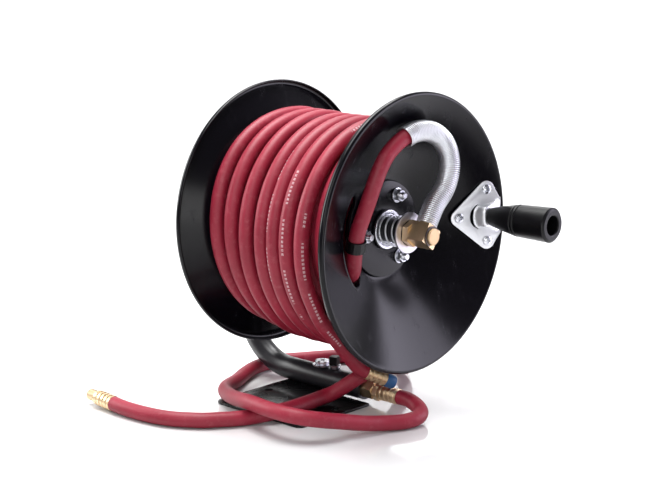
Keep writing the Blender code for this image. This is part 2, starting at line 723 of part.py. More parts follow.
# Inner layers of the hose, one solid between the flanges, its last lower turn showing by the near flange
wind_core_radius = (wind_radius - max(turn_sag)) * math.cos(math.pi / points_per_loop) - hose_radius - GAP
flange_back = flange_sheet / math.cos(dish_tilt)
lower_radius = inner_turn_radius - hose_radius


def behind_near(radius):
    """The near flange's inner face at a radius, less a clearance."""
    return dish_place(radius) - flange_back - 1.5


def behind_far(radius):
    """The far flange's inner face at a radius, with a clearance."""
    return far_rim + near_rim - behind_near(radius)


first_turn = behind_far(wind_radius) + hose_radius / math.cos(dish_tilt) + 3.8
last_turn = behind_near(wind_radius) - 39.3
turn_places = [first_turn + share * (last_turn - first_turn) for share in turn_shares]
layer_edge = last_turn + hose_radius + 2.0
inner_turn_place = behind_near(inner_turn_radius) - 12.0
inner_turn = [(inner_turn_place + hose_radius * math.cos(a), inner_turn_radius + hose_radius * math.sin(a))
              for a in np.linspace(math.radians(-30), math.radians(210), 6)]
turned("hose_core", [(hose_core_face, core_radius + GAP), (hose_core_face, inner_turn_radius - layer_step),
                     (behind_near(lower_radius + 3.0) - 4.0, lower_radius + 3.0)] + inner_turn
       + [(layer_edge, wind_core_radius), (behind_far(wind_core_radius), wind_core_radius),
          (core_start + 1.5, flange_flat_radius), (core_start + 1.5, core_radius + GAP)],
       RUBBER, steps=32)


# Outer layer: one unbroken tube that winds to the near side and hangs as the free end
def wound_points():
    """The helix of the outer layer, its turns at the chosen places along the axle."""
    first = math.radians(wind_start_angle)
    last = math.radians(180.0 + 360.0 * (len(turn_places) - 1) + wind_end_angle - 180.0)
    count = int(round((last - first) / (2 * math.pi) * points_per_loop)) + 1
    angles = np.linspace(first, last, count)
    fronts = math.pi + 2 * math.pi * np.arange(len(turn_places))
    crossing = first + 2 * math.pi
    knots = np.insert(fronts, 1, crossing)
    knot_places = np.insert(np.array(turn_places), 1, turn_places[0] + 2 * hose_radius + 1.4)
    places = np.interp(angles, knots, knot_places)
    radii = wind_radius - np.interp(angles, fronts, turn_sag) * np.sin(angles)
    return np.column_stack([places, radii * np.cos(angles), axle_height + radii * np.sin(angles)])


leave_height = axle_height - 53.0 / 122.0 * wind_radius
tail_drop = foot_height + tail_rest - leave_height
tail_route = [(x, y, leave_height + share * tail_drop) for x, y, share in (
    (74.8, -100.5, 0.271), (75.2, -87.8, 0.44), (76.0, -72.4, 0.593), (79.3, -50.5, 0.851),
    (81.9, -41.0, 0.96), (85.5, -33.8, 1.0))]
helix = wound_points()
tail_line = smooth_route([helix[-2], helix[-1]] + tail_route, 14.0)[1:]
wound_line = np.vstack([helix[:-1], tail_line])
tube_curve("wound_hose", wound_line, hose_radius, RUBBER, 1)
print("wound hose, least gap to itself", round(least_gap(helix, hose_radius, points_per_loop), 2), "mm")


# Ferrules and their ends
def ribbed_profile(length, radius, bore_depth):
    """A crimped ferrule's outline with its ribs and the hollow that its hose end fills."""
    points = [(0.0, 0.0)] if bore_depth is None else [(0.0, bore_depth)]
    rib = length / ferrule_ribs
    points.append((0.0, radius - 0.5))
    for k in range(ferrule_ribs):
        points += [(rib * (k + 0.35), radius), (rib * (k + 0.75), radius - 1.1)]
    points += [(length, radius - 0.5), (length, 0.0)]
    return points[::-1]


tail_end = Vector(tail_route[-1])
outlet_way = (tail_end - Vector(tail_route[-2])).normalized()
outlet_start = tail_end + outlet_way * GAP
outlet_profile = ribbed_profile(ferrule_length, ferrule_radius, None)
thread_end = ferrule_length + thread_length - 2
thread_profile = [(thread_end, 0.0), (thread_end, thread_radius - 0.8), (thread_end - 1, thread_radius),
                  (ferrule_length, thread_radius)]
outlet_profile = thread_profile + outlet_profile[1:]
turned("outlet_fitting", outlet_profile, BRASS, at=outlet_start, along=outlet_way, steps=16)
cap_start = ferrule_length + GAP
cap_end = cap_start + thread_length
cap_profile = [(cap_end, 0.0), (cap_end, cap_radius - 2.4), (cap_end - 2.4, cap_radius),
               (cap_start, cap_radius), (cap_start, thread_radius + GAP),
               (cap_end - cap_wall, thread_radius + GAP), (cap_end - cap_wall, 0.0)]
turned("outlet_cap", cap_profile, BLUE, at=outlet_start, along=outlet_way, steps=16)

# Inlet fittings on the foot of the pipe
foot_axis = Vector((0, 0, foot_height))
inlet_start = pipe_foot_end + GAP
inlet_end = inlet_start + inlet_hex_length
inlet_bush = rod("inlet_bush", inlet_hex, foot_axis + X_AXIS * inlet_start, inlet_hex_length, BRASS,
                 sides=6, roll=15)
inlet_stub = rod("cut_inlet_stub", stub_radius, foot_axis + X_AXIS * (inlet_start - 14), 15.0, BRASS,
                 sides=28, collection=CUTTERS)
combine(inlet_bush, inlet_stub, "UNION")
rod("inlet_nut", inlet_hex - 0.6, foot_axis + X_AXIS * (inlet_end + GAP), inlet_nut_length, BRASS,
    sides=6, roll=40)
ferrule_start = inlet_end + GAP + inlet_nut_length + GAP
inlet_ferrule_length = 26.0
turned("inlet_ferrule", ribbed_profile(inlet_ferrule_length, ferrule_radius, None), BRASS,
       at=foot_axis + X_AXIS * ferrule_start, steps=16)

# Lead-in hose: curls round on the floor, passes under the bend, back over the foot and out to its free end
floor = hose_radius + 0.2
on_plate = base_thickness + hose_radius + 0.9
lead_start = ferrule_start + inlet_ferrule_length + GAP
lead_route = [(lead_start, 0.0, foot_height), (lead_start + 11.0, 0.0, foot_height), (128.5, -3.6, 15.8),
              (139.5, -8.0, 13.9), (147.6, -14.0, 11.6), (151.8, -22.8, 9.9), (152.0, -31.5, 8.9),
              (148.7, -44.1, floor), (142.8, -55.1, floor + 0.2), (136.6, -68.2, 10.0), (132.1, -83.2, 12.5),
              (127.4, -97.7, 15.5), (122.4, -111.5, 18.8), (115.6, -129.8, 23.0), (105.5, -145.3, 26.5),
              (94.0, -154.0, 28.6), (78.0, -158.6, 29.5), (54.0, -158.2, 29.4), (22.5, -151.6, 27.6),
              (-12.0, -138.0, 21.0), (-45.7, -120.0, 14.6), (-66.3, -106.0, 12.4), (-80.0, -89.0, 10.4),
              (-93.0, -63.0, floor), (-106.0, -38.0, floor), (-116.0, -14.0, floor), (-119.5, 8.0, floor),
              (-115.5, 34.0, floor), (-101.0, 60.0, floor), (-85.0, 86.0, floor), (-64.0, 108.0, floor),
              (-38.0, 122.0, floor), (-10.0, 124.0, floor), (15.0, 114.0, 11.0), (34.0, 95.0, 17.0),
              (46.0, 70.0, 25.0), (54.0, 44.0, 33.0), (60.0, 20.0, 39.2), (63.0, -1.0, 40.0),
              (61.5, -15.0, 36.0), (55.0, -25.0, 29.5), (47.0, -32.0, 22.0), (39.5, -39.0, 16.0),
              (35.0, -49.0, 12.9), (34.3, -60.0, on_plate), (35.6, -75.0, on_plate), (36.0, -104.0, on_plate),
              (32.7, -120.6, 12.2), (25.0, -135.6, 10.0), (17.5, -147.0, floor), (8.7, -163.4, floor),
              (-2.1, -177.7, floor), (-13.6, -191.0, floor), (-39.4, -208.3, floor), (-64.2, -216.2, floor),
              (-94.9, -220.0, floor), (-111.9, -220.6, floor + 0.4), (-125.0, -220.2, 9.5)]
tube_curve("lead_hose", smooth_route(lead_route, 23.0), hose_radius, RUBBER, 2)
lead_end = Vector(lead_route[-1])
lead_way = (lead_end - Vector(lead_route[-2])).normalized()
lead_profile = ribbed_profile(ferrule_length, ferrule_radius, None)
turned("lead_ferrule", lead_profile, BRASS, at=lead_end + lead_way * GAP, along=lead_way, steps=16)
nipple_start = lead_end + lead_way * (ferrule_length + 2 * GAP)
nipple_length = 20.0
nipple_profile = [(0.0, 0.0), (0.0, 8.4), (5.0, 8.4), (5.0, thread_radius),
                  (nipple_length - 1, thread_radius), (nipple_length, thread_radius - 0.8),
                  (nipple_length, 3.5), (nipple_length - 12.0, 3.5), (nipple_length - 12.0, 0.0)]
turned("lead_nipple", nipple_profile, BRASS, at=nipple_start, along=lead_way, steps=16)


# Handle bracket: a three-lobed plate on the dish with a raised saddle that faces along the axle
def bracket_outline():
    """The plate in its own plane, x outwards from the inner screw and y round the drum."""
    lobes = ((0.0, 0.0), (bracket_span, bracket_half_span), (bracket_span, -bracket_half_span))
    tilt_out = math.degrees(math.atan2(bracket_half_span, bracket_span))
    outline = arc(lobes[0], bracket_lobe, 90 + tilt_out, 270 - tilt_out, 7)
    outline += arc(lobes[2], bracket_lobe, 270 - tilt_out, 350, 8)
    outline += [(bracket_reach, -saddle_height / 2), (bracket_reach, saddle_height / 2)]
    outline += arc(lobes[1], bracket_lobe, 10, 90 + tilt_out, 8)
    return outline


tilt = dish_tilt
handle_turn = math.radians(handle_angle)
radial = Vector((0, math.cos(handle_turn), math.sin(handle_turn)))
around = Vector((0, -math.sin(handle_turn), math.cos(handle_turn)))
slope_way = (radial * math.cos(tilt) + X_AXIS * math.sin(tilt)).normalized()
plate_normal = (X_AXIS * math.cos(tilt) - radial * math.sin(tilt)).normalized()
inner_screw = AXLE + radial * bracket_inner_screw + X_AXIS * dish_place(bracket_inner_screw)


def seat_height():
    """How far the flat plate stands off the dish so that its lobes clear the curved sheet."""
    rises = []
    for out, over in bracket_outline():
        reach = bracket_inner_screw + out * math.cos(tilt)
        rises.append((math.hypot(reach, over) - reach) * dish_slope * math.cos(tilt))
    return max(rises) + GAP


plate_seat = seat_height()


def frame_of(origin, x_way, y_way, z_way):
    """A matrix from an origin in millimetres and three directions."""
    return Matrix.Translation(Vector(origin) * MM) @ Matrix((x_way, y_way, z_way)).transposed().to_4x4()


trim = 0.8
bracket_frame = frame_of(inner_screw + plate_normal * (plate_seat - trim), slope_way, around, plate_normal)
saddle_frame = frame_of(AXLE + radial * (handle_circle + 0.8) + X_AXIS * saddle_face, radial, around, X_AXIS)
handle_bracket = flat_piece("handle_bracket", bracket_outline(), bracket_sheet + trim, ZINC)
handle_bracket.matrix_world = bracket_frame
saddle_depth = 22.0
saddle = box("cut_saddle", (saddle_width, saddle_height, saddle_depth), (0, 0, -saddle_depth / 2), ZINC,
             CUTTERS)
saddle.matrix_world = saddle_frame
round_edges(saddle, 3.6, 2)
hollow_size = (saddle_width - 2 * bracket_sheet, saddle_height - 2 * bracket_sheet, 40.0)
hollow = box("cut_saddle_hollow", hollow_size, (0, 0, -20.0 - bracket_sheet), ZINC, CUTTERS)
hollow.matrix_world = saddle_frame
round_edges(hollow, 2.0, 1)
combine(handle_bracket, saddle, "UNION")
below_plate = box("cut_below_plate", (120.0, 120.0, 60.0), (20.0, 0, trim - 30.0), ZINC, CUTTERS)
below_plate.matrix_world = bracket_frame
combine(handle_bracket, below_plate, "DIFFERENCE")
combine(handle_bracket, hollow, "DIFFERENCE")
window_outline = arc((36.0, 0), 24.0, 145, 215, 9) + [(18.0, -14.2), (18.0, 14.2)]
window = flat_piece("cut_window", window_outline, 7.2, ZINC, CUTTERS)
window.matrix_world = bracket_frame @ Matrix.Translation((0, 0, -0.003))
combine(handle_bracket, window, "DIFFERENCE")

screw_places = ((0.0, 0.0), (bracket_span, bracket_half_span), (bracket_span, -bracket_half_span))
for index, (out, over) in enumerate(screw_places):
    foot = inner_screw + slope_way * out + around * over
    name = "abc"[index]
    seat = plate_seat + bracket_sheet + GAP
    turned("bracket_screw_" + name, [(seat + 2.6, 0.0), (seat + 2.6, bracket_screw_head - 2.0),
                                     (seat + 1.6, bracket_screw_head - 0.5), (seat, bracket_screw_head),
                                     (seat, bracket_screw_radius), (-3.2, bracket_screw_radius),
                                     (-4.0, bracket_screw_radius - 0.8), (-4.0, 0.0)],
           ZINC, at=foot, along=plate_normal, steps=14)
    hole = rod("cut_screw_" + name, bracket_screw_radius + GAP, foot - plate_normal * 10, 20.0, ZINC,
               along=plate_normal, sides=20, collection=CUTTERS)
    combine(handle_bracket, hole, "DIFFERENCE")
    combine(near_flange, hole, "DIFFERENCE")

# Handle bolt, threaded into the saddle, and the turning grip
handle_axis = AXLE + radial * handle_circle
bolt_hole = rod("cut_handle_bolt", handle_bolt_radius + GAP, handle_axis + X_AXIS * (saddle_face - 10),
                20.0, ZINC, sides=14, collection=CUTTERS)
combine(handle_bracket, bolt_hole, "DIFFERENCE")
grip_start = saddle_face + 1.0
grip_end = grip_start + grip_length
recess_floor = grip_end - grip_recess_depth
bolt_back = saddle_face - bracket_sheet - 2.5
head_back = recess_floor + GAP
bolt_profile = [(head_back + 5.0, 0.0), (head_back + 5.0, handle_bolt_head - 1.0),
                (head_back + 4.0, handle_bolt_head), (head_back, handle_bolt_head),
                (head_back, handle_bolt_radius), (bolt_back, handle_bolt_radius), (bolt_back, 0.0)]
turned("handle_bolt", bolt_profile, ZINC, at=handle_axis, steps=20)
grip_bore = handle_bolt_radius + GAP
grip_knee = 0.42


def grip_radius(share):
    """The grip's outside: a cone that swells to the two grooves and runs on nearly straight."""
    swell = min(1.0, share / grip_knee)
    return grip_small + (grip_large - grip_small) * (0.68 * swell + 0.32 * share)


grip = [(grip_end, grip_recess), (grip_end, grip_large - 2.0), (grip_end - 0.7, grip_large - 0.7),
        (grip_end - 2.2, grip_large)]
for share in (0.85, 0.6, 0.46):
    grip.append((grip_start + share * grip_length, grip_radius(share)))
for share in (0.43, 0.37):
    place = grip_start + share * grip_length
    grip += [(place + 1.2, grip_radius(share)), (place + 0.4, grip_radius(share) - 1.1),
             (place - 0.4, grip_radius(share) - 1.1), (place - 1.2, grip_radius(share))]
for share in (0.3, 0.15):
    grip.append((grip_start + share * grip_length, grip_radius(share)))
grip += [(grip_start + 1.0, grip_small), (grip_start, grip_small - 1.0), (grip_start, grip_bore),
         (recess_floor, grip_bore), (recess_floor, grip_recess)]
turned("handle_grip", grip, PLASTIC, at=handle_axis, steps=20)

# Joint axes: the drum turns on the axle and the grip on its bolt
drum_axis = bpy.data.objects.new("drum_axis", None)
PARTS.objects.link(drum_axis)
drum_axis.location = AXLE * MM
bpy.context.view_layer.update()
STAND = {"base_plate", "frame_pipe", "port_plug", "capped_stud", "stud_cap", "swivel_spindle",
         "retaining_ring", "inlet_bush", "inlet_nut", "inlet_ferrule", "lead_hose", "lead_ferrule",
         "lead_nipple"}
for piece in list(PARTS.objects):
    if piece.type != "EMPTY" and piece.name not in STAND:
        piece.parent = drum_axis
        piece.matrix_parent_inverse = drum_axis.matrix_world.inverted()
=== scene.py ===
# %% [markdown]
# # An air hose reel, dressed for its photograph
#
# A bent black pipe stands on a small plate and carries a dished drum of red hose. The imported model gives
# every piece its place and its joints, and this file gives each of them its finished surface. We start by
# loading that frame.

# %% Load the frame
import math

import bmesh
import bpy
import numpy as np
from mathutils import Matrix, Vector


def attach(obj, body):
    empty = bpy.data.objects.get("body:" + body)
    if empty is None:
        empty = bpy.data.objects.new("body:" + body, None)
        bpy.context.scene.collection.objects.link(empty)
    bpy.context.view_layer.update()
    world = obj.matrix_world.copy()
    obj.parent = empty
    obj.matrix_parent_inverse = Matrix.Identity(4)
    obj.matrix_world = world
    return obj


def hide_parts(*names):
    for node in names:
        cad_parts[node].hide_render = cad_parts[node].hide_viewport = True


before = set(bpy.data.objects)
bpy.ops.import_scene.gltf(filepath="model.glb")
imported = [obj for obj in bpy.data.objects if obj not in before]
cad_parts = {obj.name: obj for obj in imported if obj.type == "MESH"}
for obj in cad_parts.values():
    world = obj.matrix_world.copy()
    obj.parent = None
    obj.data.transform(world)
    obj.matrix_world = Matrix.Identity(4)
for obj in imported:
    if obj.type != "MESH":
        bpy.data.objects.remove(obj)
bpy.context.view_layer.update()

# %% [markdown]
# ## The camera
#
# The picture was taken from a little above the axle, with the crank side turned towards us. The camera's
# place and its three directions were worked out from the round rims, which show as ellipses: their shape
# gives the direction and their size the distance. A real lens is stated in millimetres on a 36 mm wide
# sensor.

# %% Camera
def added(name, data):
    """A new object at the origin, in the scene."""
    made = bpy.data.objects.new(name, data)
    bpy.context.scene.collection.objects.link(made)
    return made


image_width, focal_pixels, sensor_width = 648, 1392.1, 36.0
camera_place = Vector((1.0681, -1.14184, 0.48557))
camera_right = Vector((0.72687, 0.68677, 0.0))
camera_up = Vector((-0.13268, 0.14042, 0.98116))
camera_back = camera_right.cross(camera_up)

lens = bpy.data.cameras.new("photo_camera")
lens.sensor_width = sensor_width
lens.lens = focal_pixels / image_width * sensor_width
lens.clip_start, lens.clip_end = 0.05, 50.0
camera = added("photo_camera", lens)
camera_turn = Matrix((camera_right, camera_up, camera_back)).transposed().to_4x4()
camera.matrix_world = Matrix.Translation(camera_place) @ camera_turn
bpy.context.scene.camera = camera
print("lens", round(lens.lens, 1), "mm")

# %% [markdown]
# ## Tools for surfaces
#
# Nearly everything on a reel is turned, bent or wound. Two kinds of surface cover that: a profile turned
# round an axis, and a circle carried along a path. Each is a grid of points, worked out as whole arrays,
# and one function turns such a grid into a mesh.

# %% A mesh from a grid of points
MM = 0.001


def grid_faces(index, wrap=True, loop=False):
    """The corners of each cell of a grid; wrap closes its rows into rings, and loop its columns."""
    above, below = (index, np.roll(index, -1, axis=0)) if loop else (index[:-1], index[1:])
    quads = np.stack([above, np.roll(above, -1, axis=1), np.roll(below, -1, axis=1), below], axis=-1)
    return quads if wrap else quads[:, :-1]


def mesh_piece(name, points, faces):
    """A new mesh object from points in metres and the corners of its faces."""
    mesh = bpy.data.meshes.new(name)
    mesh.from_pydata(points.tolist(), [], faces)
    return added(name, mesh)


def smooth(piece, crease):
    """Shades a piece smooth, apart from edges that bend by more than crease degrees."""
    piece.data.shade_smooth()
    piece.data.set_sharp_from_angle(angle=math.radians(crease))
    return piece


def surface(name, grid, wrap=True, ends=(True, True), loop=False, crease=38.0):
    """Points in rows and columns become quads, and a fan round the middle point closes an end."""
    rows, columns = grid.shape[:2]
    index = np.arange(rows * columns).reshape(rows, columns)
    points, faces = grid.reshape(-1, 3), grid_faces(index, wrap, loop).reshape(-1, 4).tolist()
    for closed, row, order in ((ends[0], 0, 1), (ends[1], -1, -1)):
        if closed and not loop:
            points = np.vstack([points, grid[row].mean(axis=0)])
            fan = np.stack([np.full(columns, len(points) - 1), np.roll(index[row], -1), index[row]], axis=-1)
            faces += fan[:, ::order].tolist()
    return smooth(mesh_piece(name, points, faces), crease)


# %% [markdown]
# A machined edge is never quite sharp: its small rounding is what catches the light. So each profile has
# its corners replaced by short curves before it is turned.

# %% Profiles with rounded corners, turned round an axis
def soften(profile, radius, steps=3):
    """Each corner becomes a curve: (1-t)^2 * start + 2t(1-t) * corner + t^2 * end, with t from 0 to 1."""
    corners = np.array(profile, dtype=float)
    before, after = np.roll(corners, 1, axis=0) - corners, np.roll(corners, -1, axis=0) - corners
    length_a, length_b = np.linalg.norm(before, axis=1), np.linalg.norm(after, axis=1)
    reach = np.minimum(radius, np.minimum(length_a, length_b) * 0.48)[:, None]
    start, end = corners + before / length_a[:, None] * reach, corners + after / length_b[:, None] * reach
    t = np.linspace(0.0, 1.0, steps + 1)[None, :, None]
    curve = (1 - t) ** 2 * start[:, None] + 2 * t * (1 - t) * corners[:, None] + t ** 2 * end[:, None]
    return curve.reshape(-1, 2)


def basis(way):
    """A direction of length 1, and two more square to it and to each other."""
    way = np.array(way, dtype=float) / np.linalg.norm(way)
    helper = np.array((0.0, 0.0, 1.0)) if abs(way[2]) < 0.9 else np.array((0.0, 1.0, 0.0))
    side = np.cross(helper, way)
    side /= np.linalg.norm(side)
    return way, side, np.cross(way, side)


def round_angles(count):
    """Evenly spaced angles once round a circle."""
    return np.linspace(0.0, 2 * np.pi, count, endpoint=False)


def lathe(name, profile, origin, way=(1, 0, 0), segments=96, flats=0, across=0.0, turn=0.0, closed=False):
    """A profile of (place, radius) in mm, turned: point = origin + place * way + radius * (cos, sin).

    With flats, the radius never passes the sides of a hexagon or a square: half the width over the cosine
    of the angle from the nearest side's middle.
    """
    outline = np.array(profile, dtype=float)
    way, side, up = basis(way)
    angle = round_angles(segments)
    radius = np.repeat(outline[:, 1:2], segments, axis=1)
    if flats:
        sector = 2 * np.pi / flats
        off = (angle - np.radians(turn) + sector / 2) % sector - sector / 2
        radius = np.minimum(radius, across / 2 / np.cos(off)[None, :])
    ring = np.cos(angle)[:, None] * side + np.sin(angle)[:, None] * up
    grid = np.array(origin) + (outline[:, 0, None, None] * way + radius[..., None] * ring[None]) * MM
    ends = (False, False) if closed else (outline[0, 1] > 0.01, outline[-1, 1] > 0.01)
    return surface(name, grid, loop=closed, ends=ends)


# %% [markdown]
# Hoses and both springs are circles carried along a path. The circle must not twist, so its side direction
# is carried from point to point and made square to the path again each time.

# %% Paths and tubes
def distances(line):
    """How far along a line each of its points lies."""
    return np.concatenate([[0.0], np.cumsum(np.linalg.norm(np.diff(line, axis=0), axis=1))])


def resample(line, spacing):
    """The same line with evenly spaced points."""
    along = distances(line)
    steps = np.linspace(0.0, along[-1], max(4, int(round(along[-1] / spacing)) + 1))
    return np.column_stack([np.interp(steps, along, line[:, k]) for k in range(3)])


def smooth_route(points, spacing):
    """A smooth line through chosen points in mm.

    Each stretch is a cubic, whose slope at a point is half the step between that point's two neighbours.
    """
    chosen = np.array([tuple(p) for p in points], dtype=float)
    ends = np.vstack([2 * chosen[0] - chosen[1], chosen, 2 * chosen[-1] - chosen[-2]])
    t = np.linspace(0.0, 1.0, 24, endpoint=False)[None, :, None]
    a, b, c, d = (ends[k:len(ends) - 3 + k, None] for k in range(4))
    line = 0.5 * (2 * b + (c - a) * t + (2 * a - 5 * b + 4 * c - d) * t ** 2
                  + (3 * b - a - 3 * c + d) * t ** 3)
    return resample(np.vstack([line.reshape(-1, 3), chosen[-1:]]), spacing)


def carried_frames(path):
    """Side and up directions along a path, each made square to it from the one before."""
    tangents = np.gradient(path, axis=0)
    tangents /= np.linalg.norm(tangents, axis=1)[:, None]
    _, side, _ = basis(tangents[0])
    sides = []
    for tangent in tangents:
        side = side - tangent * np.dot(side, tangent)
        side = side / np.linalg.norm(side)
        sides.append(side)
    return np.array(sides), np.cross(tangents, sides)


def paint_lengths(piece, along, sides):
    """Stores on each corner how far along the tube it lies, in metres, and how far round, from 0 to 1."""
    mesh = piece.data
    corner = np.empty(len(mesh.loops), dtype=np.int64)
    mesh.loops.foreach_get("vertex_index", corner)
    inside = corner < len(along) * sides
    row, around = np.where(inside, corner // sides, 0), np.where(inside, corner % sides, 0) / sides
    first_of_quad = around[np.arange(len(corner)) // 4 * 4]
    around = np.where((around == 0) & (first_of_quad > 0.5), 1.0, around)
    layer = mesh.uv_layers.new(name="length")
    layer.data.foreach_set("uv", np.column_stack([along[row], around]).astype(np.float32).ravel())


def tube(name, path, radius, sides):
    """A circle carried along a path in mm: point = path + radius * (cos * side + sin * up)."""
    side, up = carried_frames(path)
    angle = round_angles(sides)[:, None]
    ring = np.cos(angle) * side[:, None] + np.sin(angle) * up[:, None]
    piece = surface(name, (path[:, None] + radius * ring) * MM, crease=60.0)
    paint_lengths(piece, distances(path) * MM, sides)
    return piece


print("surface tools ready")

# %% [markdown]
# ## Tools for finishes
#
# A finish is arithmetic on numbers that vary over the surface. Wrapping a socket in a small class lets us
# write that arithmetic as plain expressions, and each expression adds the node that does it.

# %% Shader expressions
def arithmetic(operation, swapped=False):
    """A method that takes a wire and another value through one step of arithmetic."""
    def method(self, other):
        values = (other, self) if swapped else (self, other)
        return self.finish.math(operation, *values)
    return method


class Wire:
    """One number or colour on its way through the shader."""

    def __init__(self, finish, socket):
        self.finish, self.socket = finish, socket

    __add__, __radd__ = arithmetic("ADD"), arithmetic("ADD", True)
    __sub__, __rsub__ = arithmetic("SUBTRACT"), arithmetic("SUBTRACT", True)
    __mul__, __rmul__ = arithmetic("MULTIPLY"), arithmetic("MULTIPLY", True)

    def ramp(self, low, high):
        """0 below low, 1 above high and a straight line between."""
        return self.finish.node("ShaderNodeMapRange", {"clamp": True},
                                {"Value": self, "From Min": low, "From Max": high}, "Result")


class Finish:
    """A material, and the one method that adds any node to it."""

    def __init__(self, name, color, roughness, metallic=0.0, specular=0.5):
        self.material = bpy.data.materials.new(name)
        self.material.use_nodes = True
        self.tree = self.material.node_tree
        self.shader = self.tree.nodes["Principled BSDF"]
        self.shader.inputs["Specular IOR Level"].default_value = specular
        self.feed("Metallic", metallic)
        self.feed("Roughness", roughness)
        self.feed("Base Color", color)

    def node(self, kind, settings=None, values=None, output=0):
        made = self.tree.nodes.new(kind)
        for key, value in (settings or {}).items():
            setattr(made, key, value)
        for key, value in (values or {}).items():
            self.plug(made.inputs[key], value)
        return Wire(self, made.outputs[output])

    def plug(self, socket, value):
        if isinstance(value, Wire):
            self.tree.links.new(value.socket, socket)
        elif isinstance(value, tuple) and len(value) == 3 and socket.type == "RGBA":
            socket.default_value = (*value, 1.0)
        else:
            socket.default_value = value

    def feed(self, name, value):
        self.plug(self.shader.inputs[name], value)

    def math(self, operation, *values):
        return self.node("ShaderNodeMath", {"operation": operation}, dict(enumerate(values)))

    def length(self):
        """How far along and round a tube, as two numbers."""
        uv = self.node("ShaderNodeUVMap", {"uv_map": "length"})
        parts = self.node("ShaderNodeSeparateXYZ", values={0: uv}).socket.node
        return Wire(self, parts.outputs[0]), Wire(self, parts.outputs[1])

    def noise(self, scale, detail=3.0, roughness=0.55, stretch=None):
        place = self.node("ShaderNodeTexCoord", output="Object")
        if stretch:
            place = self.node("ShaderNodeMapping", values={"Vector": place, "Scale": stretch})
        return self.node("ShaderNodeTexNoise", values={"Vector": place, "Scale": scale, "Detail": detail,
                                                       "Roughness": roughness})

    def mix(self, amount, low, high):
        return self.node("ShaderNodeMix", {"data_type": "RGBA"}, {0: amount, 6: low, 7: high}, 2)

    def bump(self, height, strength, distance):
        self.feed("Normal", self.node("ShaderNodeBump", values={"Height": height, "Strength": strength,
                                                                "Distance": distance}))


print("finish tools ready")

# %% [markdown]
# ## The finishes
#
# The drum, its hub plates and the stand are steel under a glossy black powder coat. Powder flows as it is
# baked and leaves a very fine orange peel, and small dust and rub marks dull the gloss in places.

# %% Black powder coat
def powder_coat(name, base=(0.002, 0.0016, 0.003), low=0.17, high=0.24, gloss=0.2):
    """Gloss that wanders with a slow noise, over a fine orange-peel bump."""
    finish = Finish(name, base, 0.2, specular=gloss)
    slow = finish.noise(9.0, 4.0)
    marks = finish.noise(60.0, 5.0, 0.7, stretch=(1.0, 1.0, 0.35)).ramp(0.56, 0.72)
    finish.feed("Roughness", low + (high - low) * slow + 0.12 * marks)
    finish.feed("Base Color", finish.mix(0.3 * marks, base, (0.012, 0.011, 0.015)))
    finish.bump(finish.noise(900.0, 2.0), 0.05, 0.0004)
    return finish.material


black_coat = powder_coat("black_powder_coat")
# The pipe's coat is a lighter, rougher copy of the black coat. Its rougher gloss is real, but its lighter
# base colour is a painted sheen.
pipe_coat_painted_sheen = powder_coat("pipe_powder_coat_painted_sheen", (0.011, 0.01, 0.013), 0.3, 0.4, 0.5)
plate_coat = powder_coat("plate_powder_coat", (0.003, 0.003, 0.0035), 0.2, 0.34)
print("powder coat ready")

# %% [markdown]
# Springs, washers, screws and the handle's bracket are zinc plated: a bright, slightly blue metal with
# faint clouds in the plating and fine scratches. Brass is warmer, and darkens where hands leave it.

# %% Zinc and brass
def plated(name, color, dark, roughness, clouds=30.0):
    """Metal whose colour and gloss drift with a cloudy noise, with faint fine scratches in the bump."""
    finish = Finish(name, color, roughness, metallic=1.0)
    cloud = finish.noise(clouds, 5.0, 0.6)
    finish.feed("Base Color", finish.mix(cloud.ramp(0.35, 0.72), dark, color))
    finish.feed("Roughness", roughness - 0.08 + 0.2 * cloud)
    finish.bump(finish.noise(420.0, 3.0, 0.6), 0.12, 0.0002)
    return finish.material


bright_zinc = plated("bright_zinc", (0.78, 0.79, 0.83), (0.56, 0.57, 0.62), 0.26)
sheet_zinc = plated("sheet_zinc", (0.86, 0.86, 0.88), (0.72, 0.73, 0.76), 0.42, 16.0)
spring_zinc = plated("spring_zinc", (0.78, 0.79, 0.82), (0.62, 0.63, 0.67), 0.4)
dark_steel = plated("dark_steel", (0.16, 0.14, 0.13), (0.07, 0.06, 0.06), 0.34)
warm_brass = plated("warm_brass", (0.78, 0.6, 0.39), (0.64, 0.47, 0.28), 0.38)
dull_brass = plated("dull_brass", (0.6, 0.43, 0.27), (0.52, 0.36, 0.21), 0.4)
# The flat washer's zinc is a darker copy of the other zinc. This is painted shade that dims its bright
# reflection.
washer_zinc_painted_shade = plated("washer_zinc_painted_shade", (0.6, 0.58, 0.62), (0.54, 0.52, 0.56), 0.36)
print("metals ready")

# %% [markdown]
# The hose is maroon rubber with a satin skin. Its length is known at every point of the tube, so a broken
# pale line can run along it where a hose carries its print.

# %% Hose rubber
hose_red = (0.27, 0.012, 0.028)


